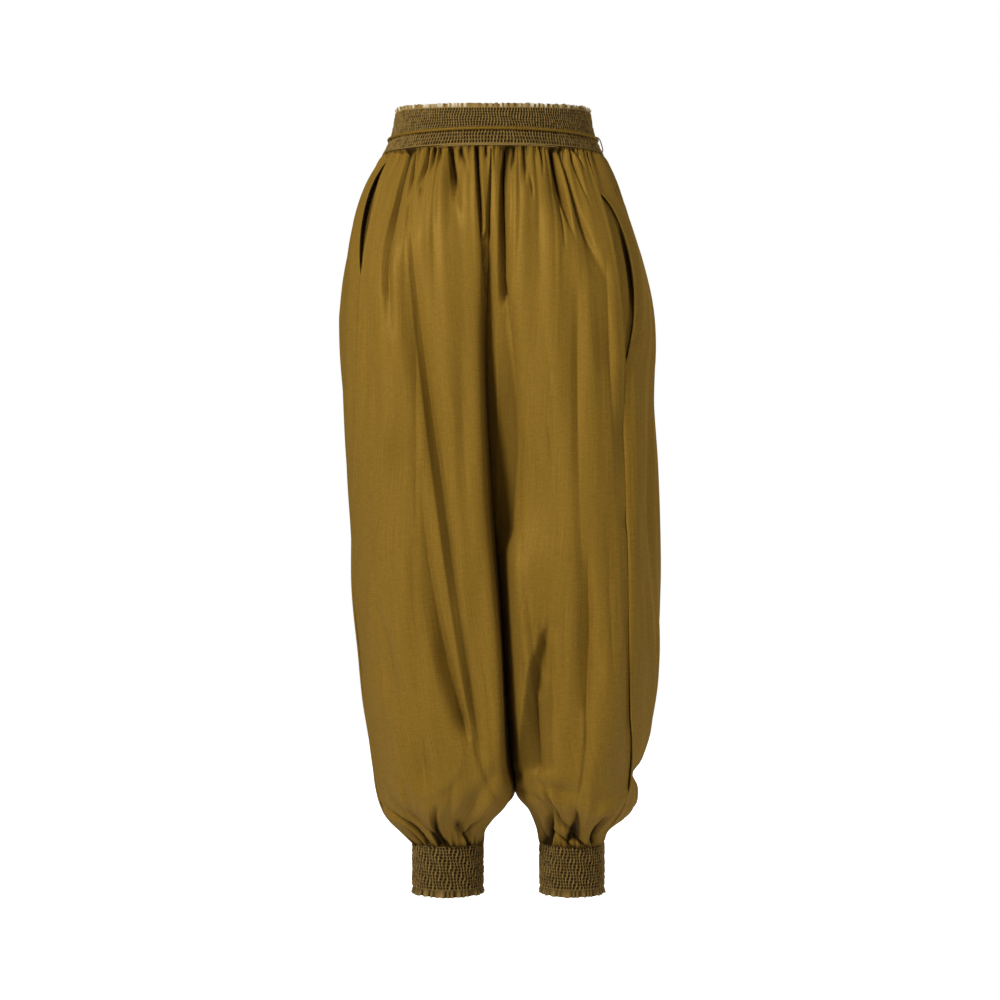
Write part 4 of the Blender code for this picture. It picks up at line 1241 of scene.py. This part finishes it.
def add_waistband_upper():
    """The upper band: shirred rows under a ruffled frill that rises a little to the sides."""
    turns, angles = band_turns(WAIST_PUCKERS)
    rise = WAIST_TOP_SIDE - WAIST_TOP_FRONT
    low = 0.5 * SEAM_GAP
    rows = []
    painted_light = []
    shirring = shirred_rows(UPPER_DRAW, turns, UPPER_ROWS, WAIST_PUCKERS, WAIST_PUFF)
    for share, stand, shade in shirring:
        height = low + share * (WAIST_TOP_FRONT - low)
        rows.append(waist_place(height, stand, angles, rise * share))
        painted_light.append(shade)
    runs = uneven_round(random_copy(RUN_DRAW), turns, *PALE_RUNS)
    flecks = uneven_round(random_copy(FLECK_DRAW), turns, *PALE_FLECKS)
    painted_highlight = PALE_STRENGTH * np.clip(runs, LEAST_RUN, 1.0) * flecks - PALE_LOSS
    painted_highlight = np.clip(painted_highlight, *PALE_LIMITS)
    for share in np.linspace(0.0, 1.0, WAIST_FRILL_STEPS + 1)[1:]:
        wave, lift = ruffle(random_copy(FRILL_DRAW), turns, WAIST_RUFFLES, share)
        row = waist_place(WAIST_TOP_FRONT, wave + WAIST_FRILL_STAND, angles, rise)
        row[:, 2] += share * WAIST_FRILL + lift
        rows.append(row)
        # Painted highlight, stronger towards the frill's edge
        painted_light.append(-share ** 0.5 * painted_highlight)
    finish_band("waistband_upper_silk", rows, angles, painted_light, UPPER_FLAT, "waistband_upper")


def add_waistband_lower():
    """The lower band, with two narrow corded rows along its foot."""
    turns, angles = band_turns(WAIST_PUCKERS)
    low = WAIST_SEAM + SEAM_GAP
    high = -0.5 * SEAM_GAP
    foot = low + LOWER_EDGE
    cord_foot, cord_height = CORD_STAND
    deepest, proud_share, nick_share = CORD_SHADE
    nick = CORD_NICK * np.sin(FULL_TURN * 2 * WAIST_PUCKERS * turns)
    rows = []
    painted_light = []
    for share in np.linspace(0.0, 1.0, CORD_STEPS + 1)[:-1]:
        cord = abs(math.sin(FULL_TURN * share)) ** CORD_ROUNDNESS
        height = low + share * (foot - low)
        rows.append(waist_place(height, cord_foot + cord_height * cord + nick * cord, angles))
        painted_light.append(deepest - proud_share * cord + nick_share * nick)
    shirring = shirred_rows(LOWER_DRAW, turns, LOWER_ROWS, WAIST_PUCKERS, WAIST_PUFF)
    for share, stand, shade in shirring:
        rows.append(waist_place(foot + share * (high - foot), stand, angles))
        painted_light.append(shade)
    finish_band("waistband_lower_silk", rows, angles, painted_light, LOWER_FLAT, "waistband_lower")


def add_cuff(cuff):
    """A shirred ankle cuff with a ruffled top and a ruffled hem that flares a little."""
    draw = CUFF_DRAWS[cuff["side"]]
    turns, angles = band_turns(CUFF_PUCKERS)
    top = CUFF_SEAM - SEAM_GAP
    foot = HEM + CUFF_FRILL
    rows = []
    painted_light = []

    def place(height, stand):
        return np.column_stack((
            cuff["middle_x"] + (cuff["half_width"] - SMOCKING + stand) * np.cos(angles),
            (cuff["half_depth"] - SMOCKING + stand) * np.sin(angles),
            np.full(len(angles), height)))

    deepest, wave_share, edge_share = HEM_SHADE
    for share in np.linspace(1.0, 0.0, CUFF_FRILL_STEPS + 1)[:-1]:
        wave, lift = ruffle(random_copy(draw), turns, CUFF_RUFFLES, share)
        row = place(foot - share * CUFF_FRILL, CUFF_FLARE * share + wave)
        row[:, 2] -= lift
        rows.append(row)
        painted_light.append(deepest - wave_share * wave / FRILL_WAVE - edge_share * share)
    shirring = shirred_rows(draw + 1, turns, CUFF_ROWS, CUFF_PUCKERS, CUFF_PUFF)
    for share, stand, shade in shirring:
        rows.append(place(foot + share * (top - foot), stand))
        painted_light.append(shade)
    wave, lift = ruffle(random_copy(draw + 2), turns, CUFF_PUCKERS // 2, 1.0)
    rows[-1] = place(top, CUFF_TOP_STAND + CUFF_TOP_WAVE * wave)
    rows[-1][:, 2] += np.minimum(lift, 0.0)
    deepest, wave_share = CUFF_TOP_SHADE
    painted_light[-1] = deepest - wave_share * wave / FRILL_WAVE
    side = cuff["side"]
    finish_band(side + "_cuff_silk", rows, angles, painted_light, CUFF_FLAT, side + "_cuff")


def add_piping():
    """The cloth-covered cord between the two bands, drawn in a little here and there."""
    turns = np.linspace(0.0, 1.0, PIPING_STEPS + 1)
    angles = FULL_TURN * turns
    middle = waist_place(0.0, PIPING_STAND, angles)
    outward = ring_directions(angles, 1)[0]
    radius = PIPING_RADIUS + wander(PIPING_NICKS, angles) - PIPING_NICK
    rows = []
    for angle in np.linspace(0.0, FULL_TURN, PIPING_SIDES + 1):
        direction = outward * math.cos(angle) + np.array((0.0, 0.0, math.sin(angle)))
        rows.append(middle + direction * radius[:, None])
    piping = grid_sheet("waist_piping_silk", np.array(rows), PIPING_FLAT)[0]
    merge_edges(turn_outward=True)
    piping.data.shade_smooth()
    set_painted_light(piping.data, np.full(len(piping.data.vertices), PIPING_PAINTED_SHADE))
    piping.data.materials.append(silk)
    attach(piping, "root")
    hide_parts("waist_piping")


def add_thread_loop():
    """The thread loop for a belt, at the wearer's left side of the waistband."""
    curve = bpy.data.curves.new("belt_loop", "CURVE")
    curve.dimensions = "3D"
    curve.bevel_depth = LOOP_RADIUS * MM
    curve.bevel_resolution = LOOP_SIDE_STEPS
    curve.resolution_u = LOOP_STEPS
    curve.use_fill_caps = True
    spline = curve.splines.new("NURBS")
    spline.points.add(len(LOOP_POINTS) - 1)
    spline.use_endpoint_u = True
    for point, (x, z) in zip(spline.points, LOOP_POINTS):
        point.co = (x * MM, 0.0, z * MM, 1.0)
    guide = bpy.data.objects.new("belt_loop_guide", curve)
    bpy.context.scene.collection.objects.link(guide)
    mesh = bpy.data.meshes.new_from_object(
        guide.evaluated_get(bpy.context.evaluated_depsgraph_get()))
    bpy.data.objects.remove(guide)
    loop = bpy.data.objects.new("belt_loop", mesh)
    bpy.context.scene.collection.objects.link(loop)
    mesh.name = "belt_loop"
    mesh.shade_smooth()
    mesh.materials.clear()
    mesh.materials.append(thread)
    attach(loop, "root")


def new_material(name):
    """A material with a plain Principled BSDF, and that shader."""
    material = bpy.data.materials.new(name)
    material.use_nodes = True
    nodes = material.node_tree.nodes
    nodes.clear()
    output = nodes.new("ShaderNodeOutputMaterial")
    shader = nodes.new("ShaderNodeBsdfPrincipled")
    material.node_tree.links.new(shader.outputs["BSDF"], output.inputs["Surface"])
    return material, shader


def feed(tree, socket, value):
    """Give a socket a plain value, or link it to the output that drives it."""
    if isinstance(value, bpy.types.NodeSocket):
        tree.links.new(value, socket)
    else:
        socket.default_value = value


def ranged(tree, value, limits, results=(0.0, 1.0)):
    """A value moved from one range to another, whose ends may be outputs too."""
    node = tree.nodes.new("ShaderNodeMapRange")
    ends = zip(("From Min", "From Max", "To Min", "To Max"), (*limits, *results))
    for name, end in ends:
        feed(tree, node.inputs[name], end)
    feed(tree, node.inputs["Value"], value)
    return node.outputs["Result"]


def blend(tree, first, second, share):
    """A colour between two others, by a share from 0 to 1."""
    node = tree.nodes.new("ShaderNodeMix")
    node.data_type = "RGBA"
    for name, value in (("A", first), ("B", second), ("Factor", share)):
        feed(tree, node.inputs[name], value)
    return node.outputs["Result"]


def weave_group():
    """Streaks and threads of satin silk: a colour mask, a roughness mask and a bump height."""
    group = bpy.data.node_groups.new("silk_weave", "ShaderNodeTree")
    group.interface.new_socket("Vector", in_out="INPUT", socket_type="NodeSocketVector")
    for name in ("Streak", "Cloud", "Height"):
        group.interface.new_socket(name, in_out="OUTPUT", socket_type="NodeSocketFloat")
    start = group.nodes.new("NodeGroupInput")
    end = group.nodes.new("NodeGroupOutput")

    def noise(scale, detail, roughness):
        mapping = group.nodes.new("ShaderNodeMapping")
        mapping.inputs["Scale"].default_value = scale
        group.links.new(start.outputs["Vector"], mapping.inputs["Vector"])
        texture = group.nodes.new("ShaderNodeTexNoise")
        texture.inputs["Scale"].default_value = 1.0
        texture.inputs["Detail"].default_value = detail
        texture.inputs["Roughness"].default_value = roughness
        group.links.new(mapping.outputs["Vector"], texture.inputs["Vector"])
        return texture.outputs["Fac"]

    def combine(operation, first, second):
        node = group.nodes.new("ShaderNodeMath")
        node.operation = operation
        feed(group, node.inputs[0], first)
        feed(group, node.inputs[1], second)
        return node.outputs["Value"]

    noises = {name: noise(*values) for name, values in WEAVE.items()}
    streak = combine("ADD", combine("MULTIPLY", noises["warp_streaks"], WARP_SHARE),
                     combine("MULTIPLY", noises["weft_streaks"], WEFT_SHARE))
    streak = combine("ADD", streak, combine("MULTIPLY", noises["slubs"], SLUB_SHARE))
    threads = combine("ADD", noises["warp_threads"], noises["weft_threads"])
    height = combine("ADD", combine("MULTIPLY", threads, THREAD_SHARE), streak)
    group.links.new(streak, end.inputs["Streak"])
    group.links.new(noises["cloud"], end.inputs["Cloud"])
    group.links.new(height, end.inputs["Height"])
    return group


def cloth_material(name, group, light, dark, painted_shade_colour, roughness, bump, sheen):
    """Silk between a light and a dark colour, darkened by painted shade in its hollows, gaps and on
    its slopes, paler by a painted highlight at a frill's edge, and less glossy where it is seen
    edge on."""
    material, shader = new_material(name)
    tree = material.node_tree
    places = tree.nodes.new("ShaderNodeUVMap")
    places.uv_map = CLOTH_MAP
    weave_node = tree.nodes.new("ShaderNodeGroup")
    weave_node.node_tree = group
    tree.links.new(places.outputs["UV"], weave_node.inputs["Vector"])
    # Painted light from the mesh: painted shade above zero darkens the colour, painted highlight
    # below zero makes it paler
    painted_light_values = tree.nodes.new("ShaderNodeAttribute")
    painted_light_values.attribute_name = PAINTED_LIGHT_ATTRIBUTE
    depth = painted_light_values.outputs["Fac"]

    streaks = ranged(tree, weave_node.outputs["Streak"], STREAK_RANGE)
    colour = blend(tree, (*dark, 1.0), (*light, 1.0), streaks)
    colour = blend(tree, colour, (*painted_shade_colour, 1.0), ranged(tree, depth, PAINTED_SHADE_RANGE))
    colour = blend(tree, colour, (*FRILL_PAINTED_HIGHLIGHT, 1.0), ranged(tree, depth, PAINTED_HIGHLIGHT_RANGE))
    tree.links.new(colour, shader.inputs["Base Color"])

    facing = tree.nodes.new("ShaderNodeLayerWeight")
    facing.inputs["Blend"].default_value = EDGE_ON_BLEND
    least, most = GLOSS_SPREAD
    rough = ranged(tree, weave_node.outputs["Cloud"], CLOUD_RANGE,
                   (roughness + least, roughness + most))
    rough = ranged(tree, facing.outputs["Facing"], EDGE_ON_RANGE, (rough, EDGE_ON_ROUGHNESS))
    tree.links.new(rough, shader.inputs["Roughness"])

    relief = tree.nodes.new("ShaderNodeBump")
    relief.inputs["Strength"].default_value = bump
    relief.inputs["Distance"].default_value = RELIEF_DEPTH
    tree.links.new(weave_node.outputs["Height"], relief.inputs["Height"])
    tree.links.new(relief.outputs["Normal"], shader.inputs["Normal"])

    shader.inputs["Sheen Weight"].default_value = sheen
    shader.inputs["Sheen Roughness"].default_value = SHEEN_ROUGHNESS
    shader.inputs["Sheen Tint"].default_value = (*SILK_SHEEN, 1.0)
    shader.inputs["Specular IOR Level"].default_value = SPECULAR_LEVEL
    shader.inputs["Specular Tint"].default_value = (*SILK_GLOSS, 1.0)
    return material


def seen_strength(tree, socket, seen, lighting, gloss):
    """One strength that the view sees, one that lights the garment, and one in its gloss."""
    rays = tree.nodes.new("ShaderNodeLightPath")
    unseen = ranged(tree, rays.outputs["Is Glossy Ray"], (0.0, 1.0), (lighting, gloss))
    strength = ranged(tree, rays.outputs["Is Camera Ray"], (0.0, 1.0), (unseen, seen))
    tree.links.new(strength, socket)


def floor_material():
    """Pale paper that looks evenly white from every side."""
    material, shader = new_material("pale_floor")
    tree = material.node_tree
    places = tree.nodes.new("ShaderNodeTexCoord")
    paper = tree.nodes.new("ShaderNodeTexNoise")
    paper.inputs["Scale"].default_value = FLOOR_CLOUDS
    tree.links.new(places.outputs["Object"], paper.inputs["Vector"])
    tone = blend(tree, (*FLOOR_WHITE, 1.0), (*FLOOR_BRIGHT, 1.0), paper.outputs["Fac"])
    tree.links.new(tone, shader.inputs["Base Color"])
    shader.inputs["Roughness"].default_value = FLOOR_ROUGHNESS
    shader.inputs["Emission Color"].default_value = WHITE
    seen_strength(tree, shader.inputs["Emission Strength"], FLOOR_GLOW, 0.0, 0.0)
    return material


def add_floor():
    """A plain pale floor under the garment."""
    bpy.ops.object.select_all(action="DESELECT")
    bpy.ops.mesh.primitive_circle_add(
        vertices=FLOOR_SIDES, radius=FLOOR_RADIUS, fill_type="NGON", location=(0.0, 0.0, 0.0))
    floor = bpy.context.object
    floor.name = "floor"
    floor.data.name = "floor"
    for vertex in floor.data.vertices:
        vertex.co.z = FLOOR_LEVEL
    floor.data.materials.append(floor_material())


def add_light(name, place, size, power, glossy):
    """A soft rectangle of light that looks at the garment's middle."""
    lamp = bpy.data.lights.new(name, "AREA")
    lamp.shape = "RECTANGLE"
    lamp.size, lamp.size_y = size
    lamp.energy = power
    item = bpy.data.objects.new(name, lamp)
    bpy.context.scene.collection.objects.link(item)
    item.location = place
    direction = np.array(LIT_PLACE) - np.array(place)
    yaw = math.atan2(direction[0], -direction[1])
    level = math.hypot(direction[0], direction[1])
    tilt = math.atan2(level, -direction[2])
    item.rotation_euler = (tilt, 0.0, yaw + math.pi)
    item.visible_glossy = glossy


def add_world():
    """White all round, which lights the garment only a little."""
    world = bpy.data.worlds.new("soft_white")
    world.use_nodes = True
    background = world.node_tree.nodes["Background"]
    background.inputs["Color"].default_value = WHITE
    seen_strength(world.node_tree, background.inputs["Strength"], 1.0, WORLD_LIGHT, WORLD_GLOSS)
    bpy.context.scene.world = world
    bpy.context.scene.view_settings.view_transform = "Standard"


def add_camera():
    """The photo's view: level, from in front of the garment."""
    camera_data = bpy.data.cameras.new("photo_view")
    camera_data.sensor_width = SENSOR
    camera_data.lens = -CAMERA_PLACE[1] * SENSOR / VIEW_WIDTH
    camera = bpy.data.objects.new("photo_view", camera_data)
    bpy.context.scene.collection.objects.link(camera)
    camera.location = CAMERA_PLACE
    camera.rotation_euler = (math.pi / 2, 0.0, 0.0)
    bpy.context.scene.camera = camera


weave = weave_group()
silk = cloth_material("satin_silk", weave, SILK_LIGHT, SILK_DARK, SILK_PAINTED_SHADE,
                      roughness=0.48, bump=0.35, sheen=0.03)
shirred_silk = cloth_material("shirred_satin_silk", weave, SHIRRED_LIGHT, SHIRRED_LIGHT,
                              SHIRRED_PAINTED_SHADE, roughness=0.6, bump=0.4, sheen=0.03)
thread = cloth_material("sewing_thread", weave, SHIRRED_LIGHT, SILK_DARK, SHIRRED_PAINTED_SHADE,
                        roughness=0.6, bump=0.5, sheen=0.1)

panel_heights = panel_levels()
for side in ("right", "left"):
    for face in ("front", "back"):
        add_panel(side, face, panel_heights)
    add_pocket_facing(side)
add_waistband_upper()
add_waistband_lower()
add_piping()
add_thread_loop()
for cuff_row in CUFFS:
    add_cuff(dict(zip(CUFF_COLUMNS, cuff_row)))
add_floor()
add_world()
for light_row in LIGHTS:
    add_light(*light_row)
add_camera()
